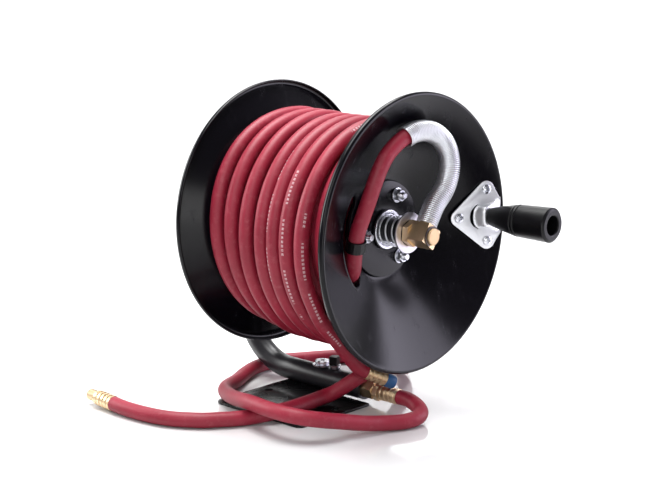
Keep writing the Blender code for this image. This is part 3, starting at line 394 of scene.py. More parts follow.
def hose_rubber(name, line_end=0.0):
    """Red rubber: colour drifts slowly and the skin has a fine grain.

    Where line_end is given, a pale broken line winds slowly round the hose up to that length: its place
    round the tube is 0.24 at line_end and an eighth more for each metre before it. Beats of unlike length
    break it up, and a fine noise wears it.
    """
    finish = Finish(name, hose_red, 0.42, specular=0.4)
    cloud = finish.noise(14.0, 4.0)
    red = finish.mix(cloud.ramp(0.3, 0.75), (0.195, 0.006, 0.02), (0.28, 0.01, 0.031))
    dusty = finish.noise(130.0, 4.0, 0.65).ramp(0.52, 0.8)
    red = finish.mix(0.16 * dusty, red, (0.5, 0.2, 0.22))
    if line_end:
        along, around = finish.length()
        place = 0.24 + 0.125 * (line_end - along)
        band = 1.0 - finish.math("ABSOLUTE", around - place).ramp(0.02, 0.03)
        beat, word, phrase = (finish.math("FRACT", along * per_metre) for per_metre in (235.0, 19.0, 3.7))
        words = (1.0 - word.ramp(0.72, 0.74)) * (1.0 - phrase.ramp(0.6, 0.61))
        worn = finish.noise(1400.0).ramp(0.34, 0.58)
        dashes = band * (1.0 - beat.ramp(0.46, 0.66)) * words * worn
        red = finish.mix(0.7 * dashes, red, (0.7, 0.58, 0.6))
    finish.feed("Base Color", red)
    finish.feed("Roughness", 0.46 + 0.1 * cloud + 0.08 * dusty)
    finish.bump(finish.noise(700.0, 3.0), 0.1, 0.0003)
    return finish.material


marked_hose = hose_rubber("hose_rubber_marked", 4.75)
plain_hose = hose_rubber("hose_rubber_plain")
print("hose rubber ready")


# %% Plastics
def moulded(name, color, worn, roughness):
    """Moulded plastic: slightly lighter where it is worn, with a fine grain."""
    finish = Finish(name, color, roughness, specular=0.26)
    wear = finish.noise(45.0, 4.0, 0.6).ramp(0.5, 0.8)
    finish.feed("Base Color", finish.mix(0.5 * wear, color, worn))
    finish.feed("Roughness", roughness + 0.12 * wear)
    finish.bump(finish.noise(300.0, 3.0), 0.15, 0.0003)
    return finish.material


black_plastic = moulded("black_plastic", (0.0015, 0.0013, 0.002), (0.005, 0.0045, 0.006), 0.34)
blue_plastic = moulded("blue_plastic", (0.03, 0.1, 0.24), (0.06, 0.15, 0.32), 0.4)
pale_plastic = moulded("pale_plastic", (0.75, 0.75, 0.72), (0.6, 0.6, 0.57), 0.45)
print("plastics ready")

# %% [markdown]
# ## Sizes that the pieces share
#
# These repeat the model's own sizes in millimetres. The axle's height gives every place on the drum, and an
# angle round the axle is measured from the rear, upwards.

# %% Shared sizes
gap = 0.3
axle_height = 204.65
near_rim, far_rim = 131.0, -90.6
flange_radius, flange_dish, flange_flat, rim_roll = 153.5, 51.3, 54.0, 3.2
sheet = 1.6
hub_bore, hub_disc, hub_plate = 17.3, 53.4, 3.0
hose_radius = 8.4
foot_height, foot_end = 16.65, 55.0
pipe_outer, pipe_bore, pipe_end = 13.35, 10.45, 117.0
floor_rest, on_plate = 8.6, 12.3
near_hub_face = near_rim - flange_dish
axle_point = np.array((0.0, 0.0, axle_height))
axle = axle_point * MM

dish_tilt = 0.5
for _ in range(6):
    cone_depth = flange_dish - rim_roll + rim_roll / math.cos(dish_tilt)
    dish_tilt = math.atan(cone_depth / (flange_radius - rim_roll - flange_flat))


def dish_place(radius):
    """The near flange's outer face along X at a radius: flat at the hub, then a straight cone."""
    return near_hub_face + np.maximum(0.0, radius - flange_flat) * math.tan(dish_tilt)


def on_drum(x, radius, angle):
    """Points in mm on the drum: (place along the axle, r cos a, the axle's height + r sin a)."""
    x, y, z = np.broadcast_arrays(x, radius * np.cos(angle), axle_height + radius * np.sin(angle))
    return np.stack([x, y, z], axis=-1)


def dressed(piece, body, material, *nodes):
    """Gives a new piece its finish and its body, and hides the solids that it stands for."""
    piece.data.materials.clear()
    piece.data.materials.append(material)
    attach(piece, body)
    if nodes:
        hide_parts(*nodes)
    return piece


print("dish tilt", round(math.degrees(dish_tilt), 1), "degrees")

# %% [markdown]
# ## The lead-in hose
#
# A loose hose comes first, because it decides how much floor the model needs. It leaves the brass inlet at
# the foot of the pipe, turns once round the stand under the bend, crosses back over the foot and runs out
# to its brass end. In its list of points, one without a height lies on the floor.

# %% Lead-in hose
bush_length, nut_length, ferrule_length = 15.0, 8.0, 26.0
lead_start = foot_end + gap + bush_length + gap + nut_length + gap + ferrule_length + gap
lead_points = [
    (lead_start, 0.0, foot_height), (lead_start + 11.0, 0.0, foot_height), (128.5, -3.6, 15.8),
    (139.5, -8.0, 13.9), (147.6, -14.0, 11.6), (151.8, -22.8, 9.9), (152.0, -31.5, 8.9), (148.7, -44.1),
    (142.8, -55.1, 8.8), (136.6, -68.2, 10.0), (132.1, -83.2, 12.5), (127.4, -97.7, 15.5),
    (122.4, -111.5, 18.8), (115.6, -129.8, 23.0), (105.5, -145.3, 26.5), (94.0, -154.0, 28.6),
    (78.0, -158.6, 29.5), (54.0, -158.2, 29.4), (22.5, -151.6, 27.6), (-12.0, -138.0, 21.0),
    (-45.7, -120.0, 14.6), (-66.3, -106.0, 12.4), (-80.0, -89.0, 10.4), (-93.0, -63.0), (-106.0, -38.0),
    (-116.0, -14.0), (-119.5, 8.0), (-115.5, 34.0), (-101.0, 60.0), (-85.0, 86.0), (-64.0, 108.0),
    (-38.0, 122.0), (-10.0, 124.0), (15.0, 114.0, 11.0), (34.0, 95.0, 17.0), (46.0, 70.0, 25.0),
    (54.0, 44.0, 33.0), (60.0, 20.0, 39.2), (63.0, -1.0, 40.0), (61.5, -15.0, 36.0), (55.0, -25.0, 29.5),
    (47.0, -32.0, 22.0), (39.5, -39.0, 16.0), (35.0, -49.0, 12.9), (34.3, -60.0, on_plate),
    (35.6, -75.0, on_plate), (36.0, -104.0, on_plate), (32.7, -120.6, 12.2), (25.0, -135.6, 10.0),
    (17.5, -147.0), (8.7, -163.4), (-2.1, -177.7), (-13.6, -191.0), (-39.4, -208.3), (-64.2, -216.2),
    (-94.9, -220.0), (-111.9, -220.6, 9.0), (-125.0, -220.2, 9.5)]
lead_route = [point if len(point) == 3 else (*point, floor_rest) for point in lead_points]
lead_line = smooth_route(lead_route, spacing=3.0)
lead_skin = tube("lead_hose_skin", lead_line, hose_radius, sides=28)
lead_hose = dressed(lead_skin, "stand", plain_hose, "lead_hose")

# %% [markdown]
# ## The drum's flanges
#
# Each flange is one pressed sheet: flat at the hub, a straight cone and a rim rolled back on itself. The
# near one has a kidney-shaped slot that lets the hose through. To keep the cone exact round the slot, the
# grid there runs from a window in the polar grid to the slot's own outline.

# %% Flange sheets
def flange_line():
    """(place from the rim plane, radius) along the sheet's outer face, from the hub to the rolled edge."""
    angle = np.linspace(-dish_tilt, 0.62 * np.pi, 14)
    cone = np.linspace(flange_flat, flange_radius - rim_roll - rim_roll * math.sin(dish_tilt), 26)[:-1]
    depth = -flange_dish + (cone - flange_flat) * math.tan(dish_tilt)
    lip = np.column_stack([-rim_roll + rim_roll * np.cos(angle),
                           flange_radius - rim_roll + rim_roll * np.sin(angle)])
    flat = np.column_stack([np.full(10, -flange_dish), np.linspace(hub_bore, flange_flat - 1.5, 10)])
    return np.vstack([flat, np.column_stack([depth, cone])[1:], lip, [(-6.0, flange_radius - 0.6)]])


def thicken(piece, thickness, outwards):
    """A sheet's wall as a finishing modifier."""
    wall = piece.modifiers.new("sheet", "SOLIDIFY")
    wall.thickness = thickness * MM
    wall.offset = outwards
    wall.use_even_offset = True


line = flange_line()
around_drum = round_angles(216)
far_points = on_drum(far_rim - line[:, :1], line[:, 1:], around_drum) * MM
far_sheet = surface("far_flange_sheet", far_points, ends=(False, False))
thicken(far_sheet, sheet, 1.0)
dressed(far_sheet, "drum", black_coat, "far_flange")
print("far flange", len(far_sheet.data.polygons), "faces")

# %% [markdown]
# The slot's window is cut out of the polar grid and filled by rings that blend from its square border to
# the round ended slot. The innermost rings turn back into the drum, which is the pressed lip that shows as
# a bright line.

# %% Near flange with its hose slot
slot_circle, slot_half, slot_from, slot_to = 72.0, 12.0, 152.0, 216.0
window_inner, window_outer, window_margin = 57.0, 88.0, 14.0
blend_rings, lip_rings, lip_width, lip_depth = 9, 4, 1.6, 3.0


def slot_ring(count, grow=0.0):
    """Points round a kidney in (radius, angle), evenly spaced along its outline.

    Laid flat, the kidney is a stadium: a straight side, a half circle, and the same again turned half
    round. Then radius = slot circle + place across, and angle = first angle + place along / slot circle.
    """
    half, first = slot_half + grow, np.radians(slot_from)
    straight = slot_circle * (np.radians(slot_to) - first)
    half_way = straight + np.pi * half
    s = np.linspace(0.0, 2 * half_way, count, endpoint=False)
    turn = np.maximum(0.0, s % half_way - straight) / half
    along, over = np.minimum(s % half_way, straight) + half * np.sin(turn), half * np.cos(turn)
    back = s >= half_way
    along, over = np.where(back, straight - along, along), np.where(back, -over, over)
    return np.column_stack([slot_circle + over, first + along / slot_circle])


row_in, row_out = np.searchsorted(line[:34, 1], (window_inner, window_outer))
window_span = np.radians((slot_from - window_margin, slot_to + window_margin))
column_in, column_out = np.searchsorted(around_drum, window_span)
window_radii, window_angles = line[row_in:row_out + 1, 1], around_drum[column_in:column_out + 1]
window_sides = ((window_radii[-1], window_angles[:-1]), (window_radii[:0:-1], window_angles[-1]),
                (window_radii[0], window_angles[:0:-1]), (window_radii[:-1], window_angles[0]))
border = np.vstack([np.column_stack(np.broadcast_arrays(radii, angles)) for radii, angles in window_sides])
edge = slot_ring(len(border))
nearest = np.hypot(border[:, 0] - edge[0, 0], (border[:, 1] - edge[0, 1]) * slot_circle).argmin()
border = np.roll(border, -nearest, axis=0)

blend = np.linspace(0.0, 1.0, blend_rings)[:, None, None]
lip_turn = np.linspace(0.0, 1.0, lip_rings + 1)[1:, None, None]
lip_edge = slot_ring(len(border), -lip_width)
polar = np.vstack([(1 - blend) * border[None] + blend * edge[None],
                   edge[None] + lip_turn * (lip_edge - edge)[None]])
drop = np.concatenate([np.zeros(blend_rings), lip_depth * lip_turn.ravel() ** 1.6])[:, None]
raise_edge = np.concatenate([np.zeros(6), [0.2, 0.55, 0.8], [0.8, 0.6, 0.2, -0.4]])[:, None]
patch = on_drum(dish_place(polar[..., 0]) + raise_edge - drop, polar[..., 0], polar[..., 1]) * MM

near_points = on_drum(near_rim + line[:, :1], line[:, 1:], around_drum) * MM
rows, columns = near_points.shape[:2]
cell_row, cell_column = np.indices((rows - 1, columns))
outside = (cell_row < row_in) | (cell_row >= row_out)
outside |= (cell_column < column_in) | (cell_column >= column_out)
quads = grid_faces(np.arange(rows * columns).reshape(rows, columns))[outside]
patch_index = np.arange(patch.shape[0] * patch.shape[1]).reshape(patch.shape[:2]) + rows * columns
patch_quads = grid_faces(patch_index)[..., [0, 3, 2, 1]].reshape(-1, 4)
near_sheet = mesh_piece("near_flange_sheet", np.vstack([near_points.reshape(-1, 3), patch.reshape(-1, 3)]),
                        np.vstack([quads, patch_quads]).tolist())
print("near flange", len(near_sheet.data.polygons), "faces, window", len(border), "points round")

# %% [markdown]
# The grid and its window share a border, point for point, so the doubles are merged and the faces then
# agree which way is out. Most turned pieces are welded in the same way, so one function makes such a piece
# from its profile.

# %% Weld a mesh and turn its faces outwards
def weld(piece, crease=38.0):
    """Merges doubles, makes the faces agree and marks only true edges sharp."""
    bm = bmesh.new()
    bm.from_mesh(piece.data)
    bmesh.ops.remove_doubles(bm, verts=bm.verts, dist=0.01 * MM)
    bmesh.ops.recalc_face_normals(bm, faces=bm.faces)
    bm.to_mesh(piece.data)
    bm.free()
    return smooth(piece, crease)


def turned(name, profile, origin, body, material, *nodes, crease=38.0, **shape):
    """A lathe's piece, welded and dressed."""
    return dressed(weld(lathe(name, profile, origin, **shape), crease), body, material, *nodes)


def front_share(piece):
    """How far a sheet's faces look towards the crank side, as the mean of their normals along X."""
    normals = np.empty(len(piece.data.polygons) * 3)
    piece.data.polygons.foreach_get("normal", normals)
    return normals[::3].mean()


def turn_to_front(piece):
    """Turns a sheet's faces over if most of them look away from the crank side."""
    if front_share(piece) < 0:
        piece.data.flip_normals()
    print(piece.name, "faces outwards:", front_share(piece) > 0)


weld(near_sheet)
turn_to_front(near_sheet)
thicken(near_sheet, sheet, -1.0)
dressed(near_sheet, "drum", black_coat, "near_flange")

# %% [markdown]
# ## The hub
#
# Flat discs are bolted on both sides of the drum. A nut and a washer sit on each of three rods, and a cup
# washer carries the brake spring that keeps the drum from spinning on by itself.

# %% Hub plates
def ring_profile(start, thickness, inner, outer, edge):
    """A flat ring's outline with rounded edges."""
    end = start + thickness
    return soften([(start, inner), (start, outer), (end, outer), (end, inner)], edge)


for name, start in (("near_hub", 80.0), ("far_hub", -42.6)):
    turned(name + "_disc", ring_profile(start, hub_plate, hub_bore, hub_disc, 0.7), axle, "drum", black_coat,
           name + "_plate", segments=128, closed=True)
print("hub discs ready")


# %% Nuts, washers and rods
def hex_nut(name, origin, way, start, height, across, hole, turn):
    """A hexagon whose corners are chamfered by a cone: the profile is a chamfered disc cut by six flats."""
    corner = across / 2 / math.cos(math.pi / 6)
    end = start + height
    profile = [(start, hole), (start, across / 2 - 0.3), (start + 1.0, corner), (end - 1.0, corner),
               (end, across / 2 - 0.3), (end, hole + 0.5), (end - 0.5, hole)]
    nut = lathe(name, profile, origin, way, segments=72, flats=6, across=across, turn=turn, closed=True)
    return weld(nut, 24.0)


def threaded(start, end, radius, pitch, depth):
    """A thread seen from the side, as a run of small ridges."""
    count = int((end - start) / pitch)
    step = (end - start) / count
    places = start + np.arange(count) * step
    return np.column_stack([np.stack([places, places + step * 0.5], axis=1).ravel(),
                            np.tile([radius - depth, radius], count)]).tolist()


seat_plain, seat_clamp, rod_circle = 83.3, 85.6, 40.0
for letter, angle, seat, turn in (
        ("a", 64.0, seat_plain, 10), ("b", 184.0, seat_clamp, 32), ("c", 304.0, seat_plain, 50)):
    center = on_drum(0.0, rod_circle, math.radians(angle)) * MM
    nut = hex_nut("hub_nut_" + letter, center, (1, 0, 0), start=seat + 1.7, height=6.0, across=12.6, hole=4.1,
                  turn=turn)
    dressed(nut, "drum", bright_zinc, "tie_nut_" + letter)
    turned("hub_washer_" + letter, ring_profile(seat, 1.6, 4.3, 8.3, 0.4), center, "drum", bright_zinc,
           segments=56, closed=True)
    tip = seat + 12.3
    profile = [(-47.6, 0.0), (-47.6, 6.0), (-46.6, 7.0), (-42.9, 7.0), (-42.9, 4.0), (seat + 1, 4.0)]
    profile += threaded(seat + 1.5, tip - 1.0, radius=4.0, pitch=1.2, depth=0.45)
    profile += [(tip - 0.9, 3.7), (tip, 3.1), (tip, 0.0)]
    turned("tie_rod_thread_" + letter, profile, center, "drum", bright_zinc, "tie_rod_" + letter, segments=40)
print("nuts and rods ready")

# %% [markdown]
# ## The brake spring and the swivel
#
# Between the cup washer and a flat washer sits a short open spring. Outside them the brass swivel body
# turns on the spindle: a hexagon, then a square block with the hose port in one flat, held by a spring
# ring.

# %% Brake spring and washers
cup_seat, washer_back, washer_bore, washer_radius = 84.9, 114.7, 13.7, 22.6
cup = [(seat_plain, washer_bore), (seat_plain, 21.0), (84.4, 22.0), (86.8, 22.0), (87.5, 21.3),
       (87.5, 19.0), (86.6, 18.4), (cup_seat, 18.2), (cup_seat, washer_bore)]
turned("cup_washer_turned", soften(cup, 0.4), axle, "drum", bright_zinc, "cup_washer", closed=True)
flat_washer = ring_profile(washer_back, 2.0, washer_bore, washer_radius, 0.35)
turned("flat_washer_turned", flat_washer, axle, "drum", washer_zinc_painted_shade, "flat_washer", closed=True)

coils, end_coil, end_lead, spring_wire, spring_radius = 3.7, 0.6, 1.9, 2.2, 16.6
spring_from = cup_seat + gap + spring_wire / 2
span = washer_back - gap - spring_wire / 2 - spring_from
turns = np.linspace(0.0, coils, int(coils * 40) + 1)
lead = np.interp(turns, (0.0, end_coil, coils - end_coil, coils), (0.0, end_lead, span - end_lead, span))
spring_path = on_drum(spring_from + lead, spring_radius, 2 * np.pi * turns)
brake_wire = tube("brake_spring_wire", spring_path, spring_wire / 2, sides=12)
dressed(brake_wire, "drum", spring_zinc, "brake_spring")
print("brake spring, coils:", coils)

# %% Swivel body
port_angle = 56.0
flats_turn = port_angle - 90.0
block_back, block_face, block_side, body_bore = 124.3, 147.3, 22.4, 9.5
corner = block_side / 2 * math.sqrt(2) - 0.4
block = [(block_back, body_bore), (block_back, corner - 2.2), (block_back + 1.4, corner),
         (block_face - 0.5, corner), (block_face, corner - 0.5), (block_face, body_bore + 0.4),
         (block_face - 0.4, body_bore)]
turned("swivel_block", block, axle, "drum", warm_brass, "swivel_body", crease=24.0, segments=144, flats=4,
       across=block_side, turn=flats_turn, closed=True)
collar = [(117.3, body_bore), (117.3, 14.9), (123.4, 14.9), (124.6, 14.2), (124.6, body_bore)]
turned("swivel_collar", collar, axle, "drum", warm_brass, crease=24.0, segments=144, flats=6, across=26.0,
       turn=flats_turn + 30, closed=True)

spindle = [(99.0, 0.0), (99.0, 9.6), (116.8, 9.6), (117.0, 9.2), (block_face, 9.2), (block_face, 7.8),
           (149.0, 7.8), (149.0, 9.2), (150.4, 9.2), (151.0, 9.0), (151.5, 8.4), (151.6, 7.6), (151.6, 0.0)]
turned("spindle_turned", spindle, axle, "stand", dull_brass, "swivel_spindle")

ring_middle, ring_angle = 9.9, np.radians(np.linspace(-66, 246, 90))[:, None]
section = soften([(-0.6, -1.4), (0.6, -1.4), (0.6, 1.4), (-0.6, 1.4)], 0.2, 2)
ring_grid = on_drum(block_face + 0.9 + section[:, 0], ring_middle + section[:, 1], ring_angle) * MM
dressed(weld(surface("spring_ring", ring_grid)), "stand", dark_steel, "retaining_ring")
print("swivel ready")

# %% [markdown]
# ## Hose from the swivel to the drum
#
# A short neck leaves the block, and the hose climbs over the hub inside a close-wound guard spring, comes
# down past a clamp and slips through the slot. The guard is one wire wound round the hose's own path.

# %% Neck, hose and guard spring
port_way = np.array((0.0, math.cos(math.radians(port_angle)), math.sin(math.radians(port_angle))))
port_start = np.array((134.3, 0.0, axle_height))
neck = soften([(9.0, 3.0), (9.0, 5.2), (11.5, 5.2), (11.5, 8.0), (21.8, 8.0), (21.8, 3.0)], 0.4)
turned("port_neck_turned", neck, port_start * MM, "drum", warm_brass, "port_neck", way=port_way, segments=64,
       closed=True)

hose_core_face = 69.0
hose_start = 12.8 + 9.0 + gap
loop_offsets = [
    (136.0, 33.5, 45.0), (135.5, 42.5, 61.0), (134.5, 44.5, 78.0), (133.0, 38.0, 95.0), (131.0, 25.0, 106.5),
    (129.5, 8.5, 111.5), (128.0, -8.5, 111.0), (127.0, -23.0, 106.5), (125.5, -36.0, 99.0),
    (124.0, -47.5, 89.0), (122.5, -56.5, 75.5), (120.5, -63.0, 60.0), (117.0, -67.5, 43.0),
    (111.5, -70.0, 25.5), (105.0, -71.0, 8.0), (100.5, -69.0, -6.0), (97.0, -67.0, -19.0),
    (93.0, -63.5, -30.5), (87.5, -59.5, -39.5), (81.0, -57.5, -43.0), (hose_core_face + gap, -57.5, -43.0)]
loop_route = [port_start + port_way * hose_start, port_start + port_way * (hose_start + 14.0)]
loop_route += [offset + axle_point for offset in loop_offsets]
loop_line = smooth_route(loop_route, spacing=2.5)
dressed(tube("swivel_hose_skin", loop_line, hose_radius, sides=28), "drum", plain_hose, "swivel_hose")

per_coil, guard_wire, guard_mean, guard_pitch = 22, 1.75, 10.9, 2.2
guard_route = smooth_route([port_start + port_way * 12.3] + loop_route[1:10], spacing=1.0)
guard_length = distances(guard_route)[-1]
guard_coils = int(guard_length / guard_pitch)
guard_line = resample(guard_route, guard_length / (guard_coils * per_coil))
side, up = carried_frames(guard_line)
turn = 2 * np.pi * np.arange(len(guard_line))[:, None] / per_coil
guard_path = guard_line + guard_mean * (np.cos(turn) * side + np.sin(turn) * up)
dressed(tube("guard_spring_wire", guard_path, guard_wire / 2, sides=8), "drum", spring_zinc, "spring_guard")
print("guard spring pitch", round(guard_length / guard_coils, 2), "mm over", guard_coils, "coils")

# %% [markdown]
# ## The wound hose
#
# The outer layer is one helix that steps across as it goes round, wherever its turns lie in the photograph,
# and it leaves the drum at the bottom as the free end. Its start rises out of the layer below. Between its
# turns that layer shows, so it is a helix as well, over a plain core, and its last turn dives beside the
# near flange.

# %% Outer layer and its tail
def smoothed(values, reach=20):
    """A running mean, so that the hose has no kink where its lead changes."""
    window = np.ones(2 * reach + 1) / (2 * reach + 1)
    return np.convolve(np.pad(values, reach, mode="edge"), window, mode="valid")


def eased(values, start, end):
    """Goes from 0 at start to 1 at end along the smooth step 3t^2 - 2t^3."""
    share = np.clip((values - start) / (end - start), 0, 1)
    return share ** 2 * (3 - 2 * share)


full_turn, wraps, per_turn = 2 * math.pi, 6, 120
wind_radius, first_place, wound_width, first_step = 122.0, -58.96, 132.2, 18.2
start_angle, leave_angle, start_shift, start_depth = 30.0, 25.0, 4.0, 16.0
turn_places = first_place + wound_width * np.array((0.0, 0.182, 0.36, 0.542, 0.682, 0.823, 1.0))
turn_sag = (-3.0, 1.0, 7.0, 8.0, 8.0, 8.0, 8.0)
top_dip = (7.6, 5.8, 0.5, 0.0, 0.0, 0.0, 0.0)
first, last = math.radians(start_angle), math.radians(180.0 + 360.0 * wraps + leave_angle)
angles = np.linspace(first, last, int((last - first) / full_turn * per_turn))
fronts = math.pi + full_turn * np.arange(wraps + 1)
knots = np.insert(fronts, 1, first + full_turn)
knot_places = np.insert(turn_places, 1, turn_places[0] + first_step)
sunk = 1 - eased(angles, first, first + 0.9)
places = smoothed(np.interp(angles, knots, knot_places)) + start_shift * sunk
sag = smoothed(np.interp(angles, fronts, turn_sag)) * np.sin(angles)
dip = np.interp(angles, fronts - math.pi / 2, top_dip) * np.maximum(np.sin(angles), 0.0) ** 4
helix = on_drum(places, wind_radius - sag - dip - start_depth * sunk, angles)

leave_drop, tail_rise = 53.0, 33.35
leave_height = axle_height - leave_drop
tail_drop = foot_height + tail_rise - leave_height
tail_route = [(x, y, leave_height + share * tail_drop) for x, y, share in (
    (74.8, -100.5, 0.271), (75.2, -87.8, 0.44), (76.0, -72.4, 0.593), (79.3, -50.5, 0.851),
    (81.9, -41.0, 0.96), (85.5, -33.8, 1.0))]
tail_line = smooth_route([helix[-3], helix[-1]] + tail_route, spacing=4.0)[1:]
outer_line = np.vstack([helix[:-1], tail_line[tail_line[:, 2] < helix[-1, 2]]])
dressed(tube("outer_hose_layer", outer_line, hose_radius, sides=28), "drum", marked_hose, "wound_hose")
print("outer layer", round(distances(outer_line)[-1] * MM, 2), "m of hose")

# %% Inner layers
dive_depth, dive_shift = 26.0, 16.0
inner_angles = np.linspace(full_turn * 0.42, full_turn * 9, 824)
inner_places = np.interp(inner_angles, (0, full_turn * 7.6, full_turn * 8.2), (-57.0, 73.0, 88.6))
inner_places = smoothed(inner_places, 14)
dive = eased(inner_angles, full_turn * 8.62, full_turn * 9)
inner_radii = np.interp(inner_places, (73.0, 86.0), (96.0, 107.5)) - dive_depth * dive
inner_line = on_drum(inner_places - dive_shift * dive, inner_radii, inner_angles)
dressed(tube("inner_hose_layer", inner_line, hose_radius, sides=24), "drum", plain_hose, "hose_core")
core = soften([(hose_core_face, 50.4), (hose_core_face, 88.0), (79.0, 95.0), (79.0, 97.0), (-54.0, 97.0),
               (-38.0, 60.0), (-37.5, 50.4)], 1.0)
turned("hose_under_layer", core, axle, "drum", plain_hose, segments=120, closed=True)
print("inner layer ready")

# %% [markdown]
# ## Brass ends
#
# A ferrule is a brass sleeve squeezed on the hose in a few rings, so its side is a wave of flat crests and
# narrow grooves. The inlet and both free ends share this profile.

# %% Ferrules and threads
def ferrule(length):
    """A squeezed sleeve's outline: crest, short slope, groove, slope, for each of four rings."""
    crest, groove, step = 8.8, 7.9, length / 4
    points = [(0.0, 0.0), (0.0, crest - 0.4), (0.4, crest)]
    for k in range(4):
        points += [(step * (k + share), radius) for share, radius in (
            (0.52, crest), (0.64, groove), (0.84, groove), (0.96, crest))]
    return points + [(length - 0.1, crest - 0.2), (length, crest - 0.6)]


def end_way(route):
    """The direction in which a route ends."""
    way = np.subtract(route[-1], route[-2])
    return way / np.linalg.norm(way)


end_length = 24.0
tail_way = end_way(tail_route)
tail_end = (np.array(tail_route[-1]) + tail_way * gap) * MM
outlet = ferrule(end_length) + [(end_length, 6.4)]
outlet += threaded(24.4, 34.0, radius=6.4, pitch=1.6, depth=0.7) + [(35.0, 5.6), (35.0, 0.0)]
turned("outlet_ferrule", outlet, tail_end, "drum", warm_brass, "outlet_fitting", way=tail_way, segments=64)
cap = [(24.4, 6.7), (24.4, 7.6), (25.2, 7.9), (34.8, 7.9), (36.6, 6.9), (37.3, 5.2), (37.3, 0.0)]
turned("outlet_cap_moulded", cap, tail_end, "drum", blue_plastic, "outlet_cap", way=tail_way, segments=64)

foot_axis = np.array((0.0, 0.0, foot_height)) * MM
sleeve_start = foot_axis + np.array((lead_start - gap - ferrule_length, 0, 0)) * MM
sleeve = ferrule(ferrule_length) + [(ferrule_length, 0.0)]
turned("inlet_ferrule_ringed", sleeve, sleeve_start, "stand", warm_brass, "inlet_ferrule", segments=64)

lead_end, lead_way = np.array(lead_route[-1]), end_way(lead_route)
end_sleeve = ferrule(end_length) + [(end_length, 0.0)]
end_ferrule = turned("lead_ferrule_ringed", end_sleeve, (lead_end + lead_way * gap) * MM, "stand", warm_brass,
                     "lead_ferrule", way=lead_way, segments=64)
nipple = [(0.0, 0.0), (0.0, 8.0), (0.5, 8.4), (4.6, 8.4), (5.0, 8.0), (5.0, 6.0)]
nipple += threaded(5.4, 19.0, radius=6.4, pitch=1.5, depth=0.7)
nipple += [(19.6, 5.9), (20.0, 5.3), (20.0, 3.5), (8.0, 3.5), (8.0, 0.0)]
nipple_start = (lead_end + lead_way * (end_length + 2 * gap)) * MM
end_nipple = turned("lead_nipple_threaded", nipple, nipple_start, "stand", warm_brass, "lead_nipple",
                    way=lead_way, segments=64)
print("brass ends ready")

# %% Inlet bush and nut
bush = [(41.3, 0.0), (41.3, 9.6), (55.3, 9.6), (55.3, 10.4), (56.3, 11.8), (69.3, 11.8), (70.3, 10.6),
        (70.3, 0.0)]
nut = [(70.6, 0.0), (70.6, 9.4), (71.6, 11.0), (77.6, 11.0), (78.6, 9.4), (78.6, 0.0)]
for node, profile, across, turn in (("inlet_bush", bush, 19.4, 15), ("inlet_nut", nut, 18.4, 40)):
    turned(node + "_hex", profile, foot_axis, "stand", warm_brass, node, crease=24.0, segments=72, flats=6,
           across=across, turn=turn)
print("inlet ready")

# %% [markdown]
# ## The stand
#
# One length of steel pipe is bent twice, and its upper end is the axle. Its wall shows at both cut ends, so
# the tube has an outside and a bore. The plate under it is a flat outline with four holes.

# %% Frame pipe
def pipe_route():
    """Foot, quarter circle, upright, quarter circle and axle, all in the plane y = 0."""
    bend, upright = 73.0, -139.0
    quarter = np.linspace(0.0, np.pi / 2, 40)
    low = np.column_stack([upright + bend - bend * np.sin(quarter),
                           foot_height + bend - bend * np.cos(quarter)])
    high = np.column_stack([upright + bend - bend * np.cos(quarter),
                            axle_height - bend + bend * np.sin(quarter)])
    foot = np.column_stack([np.linspace(foot_end, upright + bend, 30)[:-1], np.full(29, foot_height)])
    top = np.column_stack([np.linspace(upright + bend, pipe_end, 40)[1:], np.full(39, axle_height)])
    flat = np.vstack([foot, low, high, top])
    return np.column_stack([flat[:, 0], np.zeros(len(flat)), flat[:, 1]])


def pipe_grid(path, radius):
    """A ring round each point of a path that lies in the plane y = 0."""
    side = np.array((0.0, 1.0, 0.0))
    tangents = np.gradient(path, axis=0)
    up = np.cross(tangents / np.linalg.norm(tangents, axis=1)[:, None], side)
    angle = round_angles(48)[None, :, None]
    return (path[:, None] + radius * (np.cos(angle) * side + np.sin(angle) * up[:, None])) * MM


pipe_path = pipe_route()
cut_edge = pipe_grid(pipe_path, pipe_outer - 0.4)
pipe_shell = np.vstack([pipe_grid(pipe_path, pipe_outer), cut_edge[[-1]],
                        pipe_grid(pipe_path, pipe_bore)[::-1], cut_edge[[0]]])
dressed(weld(surface("bent_pipe", pipe_shell, loop=True)), "stand", pipe_coat_painted_sheen, "frame_pipe")
print("pipe", len(pipe_path), "rings")


# %% Base plate
def flat_sheet(name, outlines, thickness, edge):
    """A sheet from closed outlines in the XY plane, in mm: the first is its edge, the others are holes."""
    curve = bpy.data.curves.new(name, "CURVE")
    curve.dimensions, curve.fill_mode = "2D", "BOTH"
    curve.extrude, curve.bevel_depth, curve.bevel_resolution = (thickness / 2 - edge) * MM, edge * MM, 2
    curve.offset = -edge * MM
    for outline in outlines:
        spline = curve.splines.new("POLY")
        spline.points.add(len(outline) - 1)
        flat = np.zeros((len(outline), 4))
        flat[:, :2], flat[:, 3] = np.array(outline) * MM, 1.0
        spline.points.foreach_set("co", flat.ravel())
        spline.use_cyclic_u = True
    holder = added(name + "_curve", curve)
    bpy.context.view_layer.update()
    mesh = bpy.data.meshes.new_from_object(holder.evaluated_get(bpy.context.evaluated_depsgraph_get()))
    bpy.data.objects.remove(holder, do_unlink=True)
    mesh.name = name
    return weld(added(name, mesh), 35.0)


def shift(piece, matrix):
    """Moves a piece's own points, so that its object stays at the origin."""
    piece.data.transform(matrix)
    piece.data.update()


def arc(center, radius, start, end, count):
    """Points on a circle in the plane, between two angles in degrees."""
    turn = np.radians(np.linspace(start, end, count))
    return np.column_stack([center[0] + radius * np.cos(turn), center[1] + radius * np.sin(turn)])


def circle(center, radius, count):
    """A whole circle in the plane, as an outline that closes itself."""
    return arc(center, radius, 0.0, 360.0 - 360.0 / count, count)


